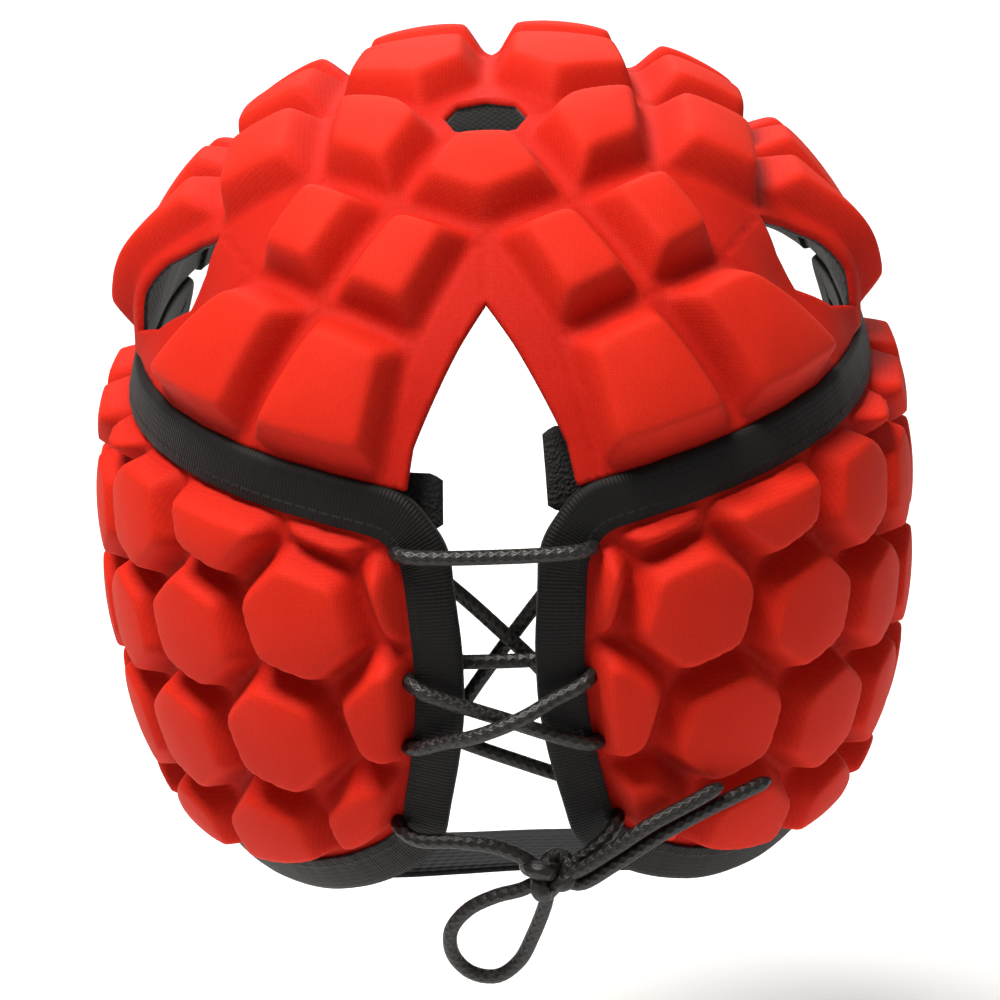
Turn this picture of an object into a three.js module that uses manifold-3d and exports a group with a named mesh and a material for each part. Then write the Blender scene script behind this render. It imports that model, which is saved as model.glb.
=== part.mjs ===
// Rugby scrum cap, in millimetres. +X is the wearer's right, +Y the face, +Z up.
// The origin is the head seat, the inner top of the crown.
import * as THREE from 'three';
import { mergeVertices } from 'three/addons/utils/BufferGeometryUtils.js';
import Module from 'manifold-3d';

const wasm = await Module();
wasm.setup();

// Head form: a rounded solid that every padded piece is laid on
const formCentreZ = -98;
const formHalfWidth = 89.5;
const formRear = 99;
const formFront = 102;
const formRise = 100.5;
const formDrop = 111.5;
const formRoundness = 2.32;
const mapRadius = 102;

// Padded sheet
const sheetThickness = 2.5;
const padHeight = 7.4;
const padCrowning = 1;
const padSlope = 6;
const channelHalf = 1.7;
const smallestPadArea = 22;
const smallestTileArea = 0.01;
const rimBand = 2.2;
const ventBand = 4;
const earBand = 3;
const longestEdge = 17;
const bow = 1e-5;
const closestPoints = 0.4;
const straightness = 0.12;
const nearbyReach = 32;

// Side panel pads: a lattice of hexagons that drops outward
const hexPitch = 30.5;
const hexTilt = THREE.MathUtils.degToRad(-17);
const hexStart = [43.6, 10.9];
const hexRows = [-5, -4, -3, -2, -1, 0, 1, 2, 3, 4, 5, 6];
const hexColumns = [-6, -5, -4, -3, -2, -1, 0, 1, 2, 3, 4, 5, 6, 7, 8, 9, 10];
const earHex = [4, 0];

// Black tape around the edges
const tapeWidth = 9.4;
const tapeThickness = 0.7;
const tapeClearance = 0.55;
const tapeInnerClearance = 2;
const foldGap = 0.3;
const tapeToPad = 1.6;
const tapedBand = tapeWidth + tapeToPad;
const tapeStep = 10;
const pieceGap = 0.35;

// Lace
const laceDiameter = 3.3;
const laceSides = 8;
const laceHoleDiameter = 4.4;
const laceStep = 6.8;
const cordStep = 7;
const pathDivisions = 1200;

// Chin strap and rear tabs
const strapWidth = 20;
const strapThickness = 1.6;
const tabThickness = 1.4;

const rad = THREE.MathUtils.degToRad;
const formCentre = new THREE.Vector3(0, 0, formCentreZ);

// A point of the head form at an azimuth from the rear and an elevation, raised along its normal
function formPoint(azimuth, elevation, height = 0) {
  const direction = new THREE.Vector3(
    Math.sin(azimuth) * Math.cos(elevation),
    -Math.cos(azimuth) * Math.cos(elevation),
    Math.sin(elevation)
  );
  const size = new THREE.Vector3(
    formHalfWidth,
    direction.y < 0 ? formRear : formFront,
    direction.z < 0 ? formDrop : formRise
  );
  const scaled = direction.clone().divide(size);
  const power = (value) => Math.abs(value) ** formRoundness;
  const reach = (power(scaled.x) + power(scaled.y) + power(scaled.z)) ** (-1 / formRoundness);
  const slope = (value, width) => Math.sign(value) * Math.abs(value) ** (formRoundness - 1) / width;
  const normal = new THREE.Vector3(
    slope(scaled.x, size.x),
    slope(scaled.y, size.y),
    slope(scaled.z, size.z)
  ).normalize();
  return direction.multiplyScalar(reach).addScaledVector(normal, height).add(formCentre);
}

// Crown map: p to the wearer's right and q to the rear, in mm of arc from the top.
// Its outlines run the other way round when seen from outside.
const crownMap = {
  turn: -1,
  place: ([p, q], height = 0) =>
    formPoint(Math.atan2(p, q), Math.PI / 2 - Math.hypot(p, q) / mapRadius, height),
};

// Side map: u around from the rear and w up from the form's middle, in mm of arc
const sideMap = {
  turn: 1,
  place: ([u, w], height = 0) => formPoint(u / mapRadius, w / mapRadius, height),
};

// Plane outlines
const mirrored = (points) => points.map(([x, y]) => [-x, y]);

function signedArea(points) {
  return points.reduce((sum, [x, y], i) => {
    const [nextX, nextY] = points[(i + 1) % points.length];
    return sum + (x * nextY - nextX * y) / 2;
  }, 0);
}

const turnedLeft = (points) => (signedArea(points) < 0 ? [...points].reverse() : points);

// How far a point lies to the left of the line from a to b
function distanceLeft([x, y], a, b) {
  const length = Math.hypot(b[0] - a[0], b[1] - a[1]);
  return ((b[0] - a[0]) * (y - a[1]) - (b[1] - a[1]) * (x - a[0])) / length;
}

// The part of an outline that lies at least an inset to the left of the line from a to b
function clipped(points, a, b, inset = 0) {
  const kept = [];
  points.forEach((point, i) => {
    const next = points[(i + 1) % points.length];
    const here = distanceLeft(point, a, b) - inset;
    const there = distanceLeft(next, a, b) - inset;
    if (here >= 0) kept.push(point);
    if (here * there < 0) {
      const share = here / (here - there);
      kept.push([point[0] + (next[0] - point[0]) * share, point[1] + (next[1] - point[1]) * share]);
    }
  });
  return kept;
}

function centroid(points) {
  return [0, 1].map((axis) => points.reduce((sum, point) => sum + point[axis], 0) / points.length);
}

// An edge as points no further apart than the limit, its end left out
function edgeStops(start, end, limit = longestEdge) {
  const [x, y] = [end[0] - start[0], end[1] - start[1]];
  const count = Math.max(1, Math.ceil(Math.hypot(x, y) / limit - 1e-6));
  return Array.from({ length: count }, (_, k) => [start[0] + (x * k) / count, start[1] + (y * k) / count]);
}

function withShortEdges(points, limit) {
  return points.flatMap((point, i) => edgeStops(point, points[(i + 1) % points.length], limit));
}

// Bends straight runs slightly, toward a middle point for a positive amount
function bowed(points, [x, y], amount) {
  return points.map((point) => {
    const stretch = 1 + amount * ((point[0] - x) ** 2 + (point[1] - y) ** 2);
    return [x + (point[0] - x) * stretch, y + (point[1] - y) * stretch];
  });
}

// Rounds each corner of an outline given as rows of x, y and corner radius
function roundedOutline(rows, stepsPerCorner) {
  return rows.flatMap(([x, y, radius], i) => {
    if (radius === 0) return [[x, y]];
    const before = rows[(i + rows.length - 1) % rows.length];
    const after = rows[(i + 1) % rows.length];
    const corner = new THREE.Vector2(x, y);
    const toward = (row) => new THREE.Vector2(row[0], row[1]).sub(corner).normalize();
    const start = corner.clone().addScaledVector(toward(before), radius);
    const end = corner.clone().addScaledVector(toward(after), radius);
    const curve = new THREE.QuadraticBezierCurve(start, corner, end);
    return curve.getPoints(stepsPerCorner).map((v) => [v.x, v.y]);
  });
}

// Leaves out points that repeat the last one or lie on the line to the next
function simplified(points) {
  const kept = [...points];
  for (let i = kept.length - 1; i >= 0 && kept.length > 2; i -= 1) {
    const before = kept[(i + kept.length - 1) % kept.length];
    const after = kept[(i + 1) % kept.length];
    const repeats = Math.hypot(before[0] - kept[i][0], before[1] - kept[i][1]) < closestPoints;
    if (repeats || Math.abs(distanceLeft(kept[i], before, after)) < straightness) kept.splice(i, 1);
  }
  return kept;
}

// The corners of an outline that lie on its convex hull, as positions in the list
function hullCorners(points) {
  const isCorner = points.map(() => true);
  for (let again = true; again; ) {
    again = false;
    const kept = points.map((_, i) => i).filter((i) => isCorner[i]);
    kept.forEach((index, k) => {
      const before = points[kept[(k + kept.length - 1) % kept.length]];
      const after = points[kept[(k + 1) % kept.length]];
      if (!again && distanceLeft(points[index], before, after) > -0.01) {
        isCorner[index] = false;
        again = true;
      }
    });
  }
  return points.map((_, i) => i).filter((i) => isCorner[i]);
}

// The outline moved inward: each hull edge by its band, and past the corners that it skips
function insetOutline(points, bandOfEdge, extra) {
  const corners = hullCorners(points);
  let inner = points.filter((_, i) => corners.includes(i));
  corners.forEach((start, k) => {
    const end = corners[(k + 1) % corners.length];
    let band = 0;
    let skipped = 0;
    for (let i = start; i !== end; i = (i + 1) % points.length) {
      const next = (i + 1) % points.length;
      band = Math.max(band, bandOfEdge(points[i], points[next]));
      if (next !== end) skipped = Math.max(skipped, distanceLeft(points[next], points[start], points[end]));
    }
    inner = clipped(inner, points[start], points[end], band + skipped + extra);
  });
  return simplified(inner);
}

// A closed body gathered from loose triangles
class Body {
  constructor() {
    this.corners = [];
  }

  // Adds a triangle, turned over where the turn is negative
  triangle(a, b, c, turn = 1) {
    if (turn > 0) this.corners.push(a, b, c);
    else this.corners.push(a, c, b);
  }

  geometry() {
    const loose = new THREE.BufferGeometry();
    const numbers = this.corners.flatMap((corner) => corner.toArray());
    loose.setAttribute('position', new THREE.Float32BufferAttribute(numbers, 3));
    const merged = mergeVertices(loose, 1e-3);
    merged.computeVertexNormals();
    return merged;
  }
}

// Joins two nested outlines by triangles with short sides. Numbers past the outer list are inner points.
function zippedRing(outer, inner) {
  const gap = (a, b) => Math.hypot(a[0] - b[0], a[1] - b[1]);
  const gaps = inner.map((flat) => gap(flat, outer[0]));
  const nearest = gaps.indexOf(Math.min(...gaps));
  const triangles = [];
  let i = 0;
  let j = 0;
  while (i < outer.length || j < inner.length) {
    const [outerNow, outerNext] = [i % outer.length, (i + 1) % outer.length];
    const [innerNow, innerNext] = [(nearest + j) % inner.length, (nearest + j + 1) % inner.length];
    const alongOuter = gap(outer[outerNext], inner[innerNow]) < gap(outer[outerNow], inner[innerNext]);
    if (j === inner.length || (i < outer.length && alongOuter)) {
      triangles.push([outerNow, outerNext, outer.length + innerNow]);
      i += 1;
    } else {
      triangles.push([outerNow, outer.length + innerNext, outer.length + innerNow]);
      j += 1;
    }
  }
  return triangles;
}

// Triangles of an outline, or of the ring between it and a smaller outline inside it.
// They are found on slightly bent edges, so that no triangle skips a point between corners.
function ringTriangles(outer, inner) {
  const middle = centroid(outer);
  const outerFlat = bowed(withShortEdges(outer), middle, bow);
  const innerFlat = bowed(withShortEdges(inner), middle, -bow);
  const flat = [...outerFlat, ...innerFlat];
  const turnOf = ([a, b, c]) => signedArea([flat[a], flat[b], flat[c]]);
  if (inner.length) {
    const zipped = zippedRing(outerFlat, innerFlat);
    if (zipped.every((triangle) => turnOf(triangle) > 0)) return zipped;
  }
  const vectors = (points) => points.map(([x, y]) => new THREE.Vector2(x, y));
  const faces = THREE.ShapeUtils.triangulateShape(vectors(outerFlat), inner.length ? [vectors(innerFlat)] : []);
  return faces.map(([a, b, c]) => (turnOf([a, b, c]) > 0 ? [a, b, c] : [a, c, b]));
}

// Fills the ring between an outline and a smaller outline inside it, each at its own height
function fillRing(body, map, outer, inner, outerHeight, innerHeight, side) {
  const placed = [
    ...withShortEdges(outer).map((flat) => map.place(flat, outerHeight)),
    ...withShortEdges(inner).map((flat) => map.place(flat, innerHeight)),
  ];
  for (const [a, b, c] of ringTriangles(outer, inner)) {
    body.triangle(placed[a], placed[b], placed[c], map.turn * side);
  }
}

function fillFan(body, map, outline, height, middleHeight, side) {
  const middle = map.place(centroid(outline), middleHeight);
  const ring = withShortEdges(outline).map((flat) => map.place(flat, height));
  ring.forEach((corner, i) => body.triangle(middle, corner, ring[(i + 1) % ring.length], map.turn * side));
}

// A padded sheet made of tiles that share their edges. A tile has an outline and may carry a pad.
// Pads also keep clear of the taped edges, given as pairs of points with the sheet on their left.
function paddedSheet(map, tiles, edgeBand, tapedEdges) {
  const key = ([x, y]) => `${Math.round(x * 1000)},${Math.round(y * 1000)}`;
  const outlines = tiles.map((tile) => turnedLeft(tile.outline));
  const edges = new Set();
  for (const outline of outlines) {
    outline.forEach((corner, i) => edges.add(key(corner) + ' ' + key(outline[(i + 1) % outline.length])));
  }
  const isFree = (a, b) => !edges.has(key(b) + ' ' + key(a));
  const bandOfEdge = (a, b) => (isFree(a, b) ? edgeBand(centroid([a, b])) : channelHalf);
  const body = new Body();
  outlines.forEach((outline, index) => {
    const middle = centroid(outline);
    const near = tapedEdges.filter(([a]) => Math.hypot(a[0] - middle[0], a[1] - middle[1]) < nearbyReach);
    const padOutline = (extra) => {
      const inner = insetOutline(outline, bandOfEdge, extra);
      return simplified(near.reduce((rest, [a, b]) => clipped(rest, a, b, tapedBand + extra), inner));
    };
    const foot = tiles[index].pad ? padOutline(0) : [];
    const shoulder = foot.length > 2 ? padOutline(padSlope) : [];
    if (shoulder.length > 2 && Math.abs(signedArea(shoulder)) > smallestPadArea) {
      fillRing(body, map, outline, foot, 0, 0, 1);
      fillRing(body, map, foot, shoulder, 0, padHeight, 1);
      fillFan(body, map, shoulder, padHeight, padHeight + padCrowning, 1);
      fillRing(body, map, outline, foot, -sheetThickness, -sheetThickness, -1);
      fillFan(body, map, foot, -sheetThickness, -sheetThickness, -1);
    } else {
      fillRing(body, map, outline, [], 0, 0, 1);
      fillRing(body, map, outline, [], -sheetThickness, -sheetThickness, -1);
    }
    outline.forEach((start, i) => {
      const end = outline[(i + 1) % outline.length];
      if (!isFree(start, end)) return;
      const stops = [...edgeStops(start, end), end];
      for (let k = 0; k < stops.length - 1; k += 1) {
        const [a, b] = [map.place(stops[k]), map.place(stops[k + 1])];
        const [c, d] = [map.place(stops[k + 1], -sheetThickness), map.place(stops[k], -sheetThickness)];
        body.triangle(b, a, d, map.turn);
        body.triangle(b, d, c, map.turn);
      }
    });
  });
  return body.geometry();
}

// Crown: rim, vents and pads
const rimStep = 8;
// Rows of azimuth from the rear, in degrees, and arc from the top
const crownRim = [
  [11.4, 119],
  [25, 116],
  [45, 113.2],
  [60, 112],
  [80, 111.5],
  [92, 112],
  [107, 113],
  [125, 115],
  [140, 118],
  [166, 122],
  [180, 122.5],
];

function rimArc(azimuth) {
  const next = Math.max(1, crownRim.findIndex(([limit]) => limit >= azimuth - 1e-9));
  const [fromAzimuth, fromArc] = crownRim[next - 1];
  const [toAzimuth, toArc] = crownRim[next];
  return fromArc + ((toArc - fromArc) * (azimuth - fromAzimuth)) / (toAzimuth - fromAzimuth);
}

function rimPoint(azimuth) {
  return [rimArc(azimuth) * Math.sin(rad(azimuth)), rimArc(azimuth) * Math.cos(rad(azimuth))];
}

function rimRun(fromAzimuth, toAzimuth) {
  const count = Math.max(1, Math.round(Math.abs(toAzimuth - fromAzimuth) / rimStep));
  const step = (toAzimuth - fromAzimuth) / count;
  return Array.from({ length: count + 1 }, (_, k) => rimPoint(fromAzimuth + step * k));
}

// The brow tape starts where the side panels end
const browStart = 119.5;

// Shared corners of the crown's right half, on the crown map
const at = {
  browCorner: rimPoint(browStart),
  ventFront: [0, 9.5],
  ventFrontSide: [7, 12],
  ventSide: [10, 19.5],
  ventRearSide: [7, 27],
  ventRear: [0, 29.5],
  arcInner: [20, 52],
  arcMiddle: [0, 62],
  arcOuter: [38.5, 35.3],
  gapTop: [0, 78],
  flapInner: [17, 86.5],
  flapMiddle: [38.5, 72.5],
  flapOuter: [56, 55],
  slitTop: [66.6, 31.1],
  slitRear: [82, 42],
  slitFront: [84.5, 21.5],
  slitFoot: [103, 24],
  topMiddle: [37, 1],
  topOuter: [65, -5],
  frontA0: [0, -26],
  frontA1: [33, -28],
  frontA2: [64, -34],
  frontB0: [0, -61],
  frontB1: [33, -61],
  frontB2: [61, -62],
  frontC0: [0, -94],
  frontC1: [30, -92],
  frontC2: [56, -84],
};
const gapEdge = [
  [20.4, 108],
  [14.4, 99],
  [7, 87.7],
];
const flapRimInner = 14.3;
const flapRimMiddle = 35.5;
const flapRimOuter = 62;
const slitRim = 79;

// Tiles of the right half, each a list of corners
const crownHalfTiles = [
  { pad: true, outline: [at.ventFront, at.ventFrontSide, at.ventSide, at.topMiddle, at.frontA1, at.frontA0] },
  { pad: true, outline: [at.ventRearSide, at.ventSide, at.topMiddle, at.arcOuter, at.arcInner] },
  { pad: true, outline: [at.topMiddle, at.topOuter, at.slitTop, at.arcOuter] },
  { pad: true, outline: [at.arcMiddle, at.arcInner, at.flapMiddle, at.flapInner] },
  { pad: true, outline: [at.arcInner, at.arcOuter, at.flapOuter, at.flapMiddle] },
  { pad: false, outline: [at.arcOuter, at.slitTop, at.flapOuter] },
  { pad: true, outline: [at.flapInner, at.flapMiddle, ...rimRun(flapRimMiddle, flapRimInner)] },
  { pad: true, outline: [at.flapMiddle, at.flapOuter, ...rimRun(flapRimOuter, flapRimMiddle)] },
  { pad: false, outline: [at.flapOuter, at.slitTop, at.slitRear, at.slitFoot, ...rimRun(slitRim, flapRimOuter)] },
  {
    pad: false,
    outline: [at.arcMiddle, at.flapInner, ...rimRun(flapRimInner, crownRim[0][0]), ...gapEdge, at.gapTop],
  },
  { pad: true, outline: [at.topMiddle, at.frontA1, at.frontA2, at.topOuter] },
  { pad: true, outline: [at.topOuter, at.slitTop, at.slitFront, at.slitFoot, ...rimRun(slitRim, 92)] },
  { pad: true, outline: [at.topOuter, ...rimRun(92, 107), at.frontA2] },
  { pad: true, outline: [at.frontA0, at.frontA1, at.frontB1, at.frontB0] },
  { pad: true, outline: [at.frontA1, at.frontA2, at.frontB2, at.frontB1] },
  { pad: true, outline: [at.frontA2, ...rimRun(107, browStart), rimPoint(125), at.frontB2] },
  { pad: true, outline: [at.frontB0, at.frontB1, at.frontC1, at.frontC0] },
  { pad: true, outline: [at.frontB1, at.frontB2, at.frontC2, at.frontC1] },
  { pad: true, outline: [at.frontB2, ...rimRun(125, 150), at.frontC2] },
  { pad: true, outline: [at.frontC0, at.frontC1, ...rimRun(166, 180)] },
  { pad: true, outline: [at.frontC1, at.frontC2, ...rimRun(150, 166)] },
];
const crownMiddleTile = {
  pad: true,
  outline: [
    at.ventRear,
    at.ventRearSide,
    at.arcInner,
    at.arcMiddle,
    ...mirrored([at.arcInner, at.ventRearSide]),
  ],
};
// The flat band beside a free edge: wide under the brow tape, narrow at the rear rim
function crownBand([p, q]) {
  const azimuth = THREE.MathUtils.radToDeg(Math.abs(Math.atan2(p, q)));
  const arc = Math.hypot(p, q);
  if (arc < rimArc(Math.max(azimuth, crownRim[0][0])) - ventBand) return ventBand;
  return azimuth > browStart - rimStep ? tapedBand : rimBand;
}

function buildCrown() {
  const mirroredTiles = crownHalfTiles.map(({ pad, outline }) => ({ pad, outline: mirrored(outline) }));
  return paddedSheet(crownMap, [crownMiddleTile, ...crownHalfTiles, ...mirroredTiles], crownBand, []);
}

// Side panels
// Rows of azimuth from the rear and elevation, in degrees, and corner radius on the map
const lacingEdge = [
  [9.4, -25.6, 4],
  [8.2, -20.4, 0],
  [6.5, -13.3, 0],
  [5.4, -5.8, 0],
  [5.3, 2.7, 0],
  [5.9, 9.5, 0],
  [6.4, 16.2, 5],
];
const faceEdge = [
  [112, 3, 0],
  [105, -16, 0],
];
const lowerEdge = [
  [97, -32.5, 13],
  [82, -39.5, 7],
  [60, -41, 0],
  [45, -40.5, 0],
  [30, -38, 0],
  [20, -34, 0],
  [13, -29.6, 4],
];
const topAzimuths = [11.6, 18, 25, 32, 39, 46, 53, 60, 67, 74, 81, 88, 95, 102, 109, 118];
const topCornerRadius = 13;
const nearCornerRadius = 7;
const cornerSteps = 2;

const onSideMap = (azimuth, elevation) => [rad(azimuth) * mapRadius, rad(elevation) * mapRadius];

function panelOutline() {
  const toMap = ([azimuth, elevation, radius]) => [...onSideMap(azimuth, elevation), radius];
  const clearance = pieceGap + foldGap + tapeThickness;
  const top = topAzimuths.map((azimuth, i) => {
    const elevation = Math.PI / 2 - (rimArc(azimuth) + clearance) / mapRadius;
    const radius = { 0: nearCornerRadius, [topAzimuths.length - 1]: topCornerRadius }[i] ?? 0;
    return [rad(azimuth) * mapRadius, elevation * mapRadius, radius];
  });
  const rows = [...lacingEdge.map(toMap), ...top, ...faceEdge.map(toMap), ...lowerEdge.map(toMap)];
  return roundedOutline(rows, cornerSteps);
}

function hexagon(column, row) {
  const along = [Math.cos(hexTilt), Math.sin(hexTilt)];
  const down = [Math.cos(hexTilt - Math.PI / 3), Math.sin(hexTilt - Math.PI / 3)];
  const middle = [0, 1].map((axis) => hexStart[axis] + hexPitch * (column * along[axis] + row * down[axis]));
  return Array.from({ length: 6 }, (_, k) => {
    const angle = hexTilt + Math.PI / 6 + (k * Math.PI) / 3;
    const reach = hexPitch / Math.sqrt(3);
    return [middle[0] + reach * Math.cos(angle), middle[1] + reach * Math.sin(angle)];
  });
}

function panelTiles(outline) {
  const tiles = [];
  for (const row of hexRows) {
    for (const column of hexColumns) {
      if (column === earHex[0] && row === earHex[1]) continue;
      const hex = hexagon(column, row);
      const piece = hex.reduce((rest, corner, i) => clipped(rest, corner, hex[(i + 1) % 6]), turnedLeft(outline));
      if (piece.length > 2 && Math.abs(signedArea(piece)) > smallestTileArea) tiles.push({ pad: true, outline: piece });
    }
  }
  return tiles;
}

const outlineOfPanel = panelOutline();
const earMiddle = centroid(hexagon(...earHex));

function panelBand([u, w]) {
  const besideEar = Math.hypot(Math.abs(u) - earMiddle[0], w - earMiddle[1]) < hexPitch / Math.sqrt(2);
  return besideEar ? earBand : tapedBand;
}

function onSide(points, side) {
  return side > 0 ? points : mirrored(points);
}

function buildPanel(side) {
  const tiles = panelTiles(outlineOfPanel).map(({ pad, outline }) => ({ pad, outline: onSide(outline, side) }));
  const edge = turnedLeft(onSide(outlineOfPanel, side));
  return paddedSheet(sideMap, tiles, panelBand, edge.map((start, i) => [start, edge[(i + 1) % edge.length]]));
}

// Closed body through rings of points. An open sweep gets an end cap at each end.
function sweep(rings, isLoop) {
  const body = new Body();
  const last = isLoop ? rings.length : rings.length - 1;
  for (let i = 0; i < last; i += 1) {
    const ring = rings[i];
    const next = rings[(i + 1) % rings.length];
    ring.forEach((a, k) => {
      const m = (k + 1) % ring.length;
      body.triangle(a, next[k], next[m]);
      body.triangle(a, next[m], ring[m]);
    });
  }
  if (!isLoop) {
    const faces = capTriangles(rings[0]);
    for (const [a, b, c] of faces) {
      body.triangle(rings[0][a], rings[0][b], rings[0][c]);
      const end = rings[rings.length - 1];
      body.triangle(end[a], end[c], end[b]);
    }
  }
  const geometry = body.geometry();
  return volumeOf(geometry) < 0 ? turnedInsideOut(geometry) : geometry;
}

// Triangles of a flat ring, worked out in the ring's own plane
function capTriangles(ring) {
  const across = ring[1].clone().sub(ring[0]).normalize();
  const normal = new THREE.Vector3();
  ring.forEach((vertex, i) => normal.add(vertex.clone().cross(ring[(i + 1) % ring.length])));
  const up = normal.normalize().clone().cross(across);
  const flat = ring.map((vertex) => new THREE.Vector2(vertex.dot(across), vertex.dot(up)));
  return THREE.ShapeUtils.triangulateShape(flat, []);
}

function volumeOf(geometry) {
  const position = geometry.getAttribute('position');
  const index = geometry.getIndex().array;
  const corner = (i) => new THREE.Vector3().fromBufferAttribute(position, index[i]);
  let total = 0;
  for (let i = 0; i < index.length; i += 3) total += corner(i).dot(corner(i + 1).cross(corner(i + 2))) / 6;
  return total;
}

function turnedInsideOut(geometry) {
  const index = geometry.getIndex();
  for (let i = 0; i < index.count; i += 3) {
    const second = index.getX(i + 1);
    index.setX(i + 1, index.getX(i + 2));
    index.setX(i + 2, second);
  }
  geometry.computeVertexNormals();
  return geometry;
}

// Tape folded over an edge: an outer leg, the fold beyond the edge and an inner leg
function tapeRing(map, edge, inward) {
  const lip = -foldGap - tapeThickness;
  const inside = -sheetThickness - tapeInnerClearance;
  const profile = [
    [tapeWidth, tapeClearance],
    [tapeWidth, tapeClearance + tapeThickness],
    [lip, tapeClearance + tapeThickness],
    [lip, inside - tapeThickness],
    [tapeWidth, inside - tapeThickness],
    [tapeWidth, inside],
    [-foldGap, inside],
    [-foldGap, tapeClearance],
  ];
  return profile.map(([depth, height]) =>
    map.place([edge[0] + inward[0] * depth, edge[1] + inward[1] * depth], height)
  );
}

function inwardAt(points, i) {
  const before = points[(i + points.length - 1) % points.length];
  const after = points[(i + 1) % points.length];
  const length = Math.hypot(after[0] - before[0], after[1] - before[1]);
  return [-(after[1] - before[1]) / length, (after[0] - before[0]) / length];
}

function buildPanelTape(side) {
  const edge = withShortEdges(turnedLeft(onSide(outlineOfPanel, side)), tapeStep);
  return sweep(edge.map((map, i) => tapeRing(sideMap, map, inwardAt(edge, i))), true);
}

function buildBrowTape() {
  const front = [
    at.browCorner,
    ...rimRun(125, 150),
    ...rimRun(150, 166).slice(1),
    ...rimRun(166, 180).slice(1),
  ];
  const edge = [...front, ...mirrored(front).reverse().slice(1)];
  const rings = edge.map((map) => {
    const arc = Math.hypot(map[0], map[1]);
    return tapeRing(crownMap, map, [-map[0] / arc, -map[1] / arc]);
  });
  return sweep(rings, false);
}

// Lace holes and lacing
// Rows of azimuth and elevation, in degrees, of the right side's holes from the top down.
// The lace passes through a wider copy of itself, cut from the panels and their tapes.
const laceHoles = [
  [12.3, 15.6],
  [11.3, -1.2],
  [12, -10.6],
  [14.6, -22.6],
];

// Strands from hole to hole, each hole as a side, -1 for left, and a row of the table above
const strandShares = [0.08, 0.2, 0.35, 0.5, 0.65, 0.8, 0.92];
const strandHeights = {
  over: [3.8, 4, 3.8, 3.6, 3.8, 4, 3.8],
  overTop: [3.8, 4.6, 6.9, 7.6, 6.9, 4.6, 3.8],
  under: [-7.7, -8, -8, -8, -8, -8, -7.7],
  underSecond: [-7.7, -9.6, -11.6, -11.8, -11.6, -9.6, -7.7],
  underThird: [-7.7, -12, -15.4, -15.6, -14.6, -12, -7.7],
};
const strands = [
  { from: [-1, 3], to: [1, 0], heights: strandHeights.underThird },
  { from: [1, 0], to: [-1, 0], heights: strandHeights.over },
  { from: [-1, 0], to: [1, 2], heights: strandHeights.underSecond },
  { from: [1, 2], to: [-1, 1], heights: strandHeights.over },
  { from: [-1, 1], to: [1, 1], heights: strandHeights.under },
  { from: [1, 1], to: [-1, 2], heights: strandHeights.overTop },
  { from: [-1, 2], to: [1, 3], heights: strandHeights.under },
];
const holeHeights = [-5.4, -1.8, 1.6];

// Knot under the lacing: centre, half sizes, and the directions in which cords leave it
const knotCentre = new THREE.Vector3(8.8, -101, -148.2);
const knotHalf = new THREE.Vector3(6.2, 5, 5.6);
const knotSides = 12;
const knotRings = 8;
const cordGap = 1.1;
const knotExits = {
  laceStart: [-0.9, -0.05, 0.75],
  laceEnd: [0.9, 0.1, 0.42],
  loopStart: [-0.8, 0.1, -0.55],
  loopEnd: [-0.12, 0.05, -1],
  upperEnd: [0.9, -0.5, 0.35],
  lowerEnd: [1, -0.35, -0.2],
};
const laceStartRoute = [
  [-2.5, -101.2, -140.8],
  [-11, -100.4, -139.6],
  [-20.5, -98.4, -139.8],
];
const laceEndRoute = [[21.5, -98.6, -141]];
const loopRoute = [
  [-3.4, -99.8, -154.2],
  [-9.8, -99, -158],
  [-13.9, -98.2, -164],
  [-13.6, -97.6, -170.6],
  [-9.6, -97.2, -175.6],
  [-4, -97.2, -176.6],
  [1, -97.8, -172.6],
  [4.4, -98.8, -165.6],
];
const upperEndRoute = [
  [22.8, -104.6, -140.6],
  [31.8, -104, -134.6],
  [40.6, -101.2, -131.2],
  [47.6, -98.2, -128.6],
];
const lowerEndRoute = [
  [23.6, -103.6, -144.6],
  [33.2, -102.2, -138.8],
  [42.8, -98.9, -135],
  [51.2, -95.2, -132.8],
  [58.4, -91.4, -131.4],
];

function holePoint([side, row], height) {
  const [azimuth, elevation] = laceHoles[row];
  return formPoint(side * rad(azimuth), rad(elevation), height);
}

function throughHole(hole, outward) {
  const heights = outward ? holeHeights : [...holeHeights].reverse();
  return heights.map((height) => holePoint(hole, height));
}

function strandPoints({ from, to, heights }) {
  const [start, end] = [from, to].map(([side, row]) => [side * laceHoles[row][0], laceHoles[row][1]]);
  return strandShares.map((share, i) => {
    const azimuth = start[0] + (end[0] - start[0]) * share;
    const elevation = start[1] + (end[1] - start[1]) * share;
    return formPoint(rad(azimuth), rad(elevation), heights[i]);
  });
}

// The point just outside the knot in a direction from its centre
function knotExit(name) {
  const direction = new THREE.Vector3(...knotExits[name]).normalize();
  const reach = 1 / direction.clone().divide(knotHalf).length();
  return knotCentre.clone().addScaledVector(direction, reach + cordGap);
}

const toVectors = (rows) => rows.map(([x, y, z]) => new THREE.Vector3(x, y, z));

// Round cord along points, with a step of a few diameters
function cord(points, step, diameter = laceDiameter) {
  const path = new THREE.CatmullRomCurve3(points, false, 'centripetal');
  const section = new THREE.Shape(
    Array.from({ length: laceSides }, (_, i) => {
      const angle = ((i + 0.5) * 2 * Math.PI) / laceSides;
      return new THREE.Vector2(Math.cos(angle), Math.sin(angle)).multiplyScalar(diameter / 2);
    })
  );
  path.arcLengthDivisions = pathDivisions;
  const steps = Math.round(path.getLength() / step);
  return new THREE.ExtrudeGeometry(section, { steps, bevelEnabled: false, extrudePath: path });
}

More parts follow.
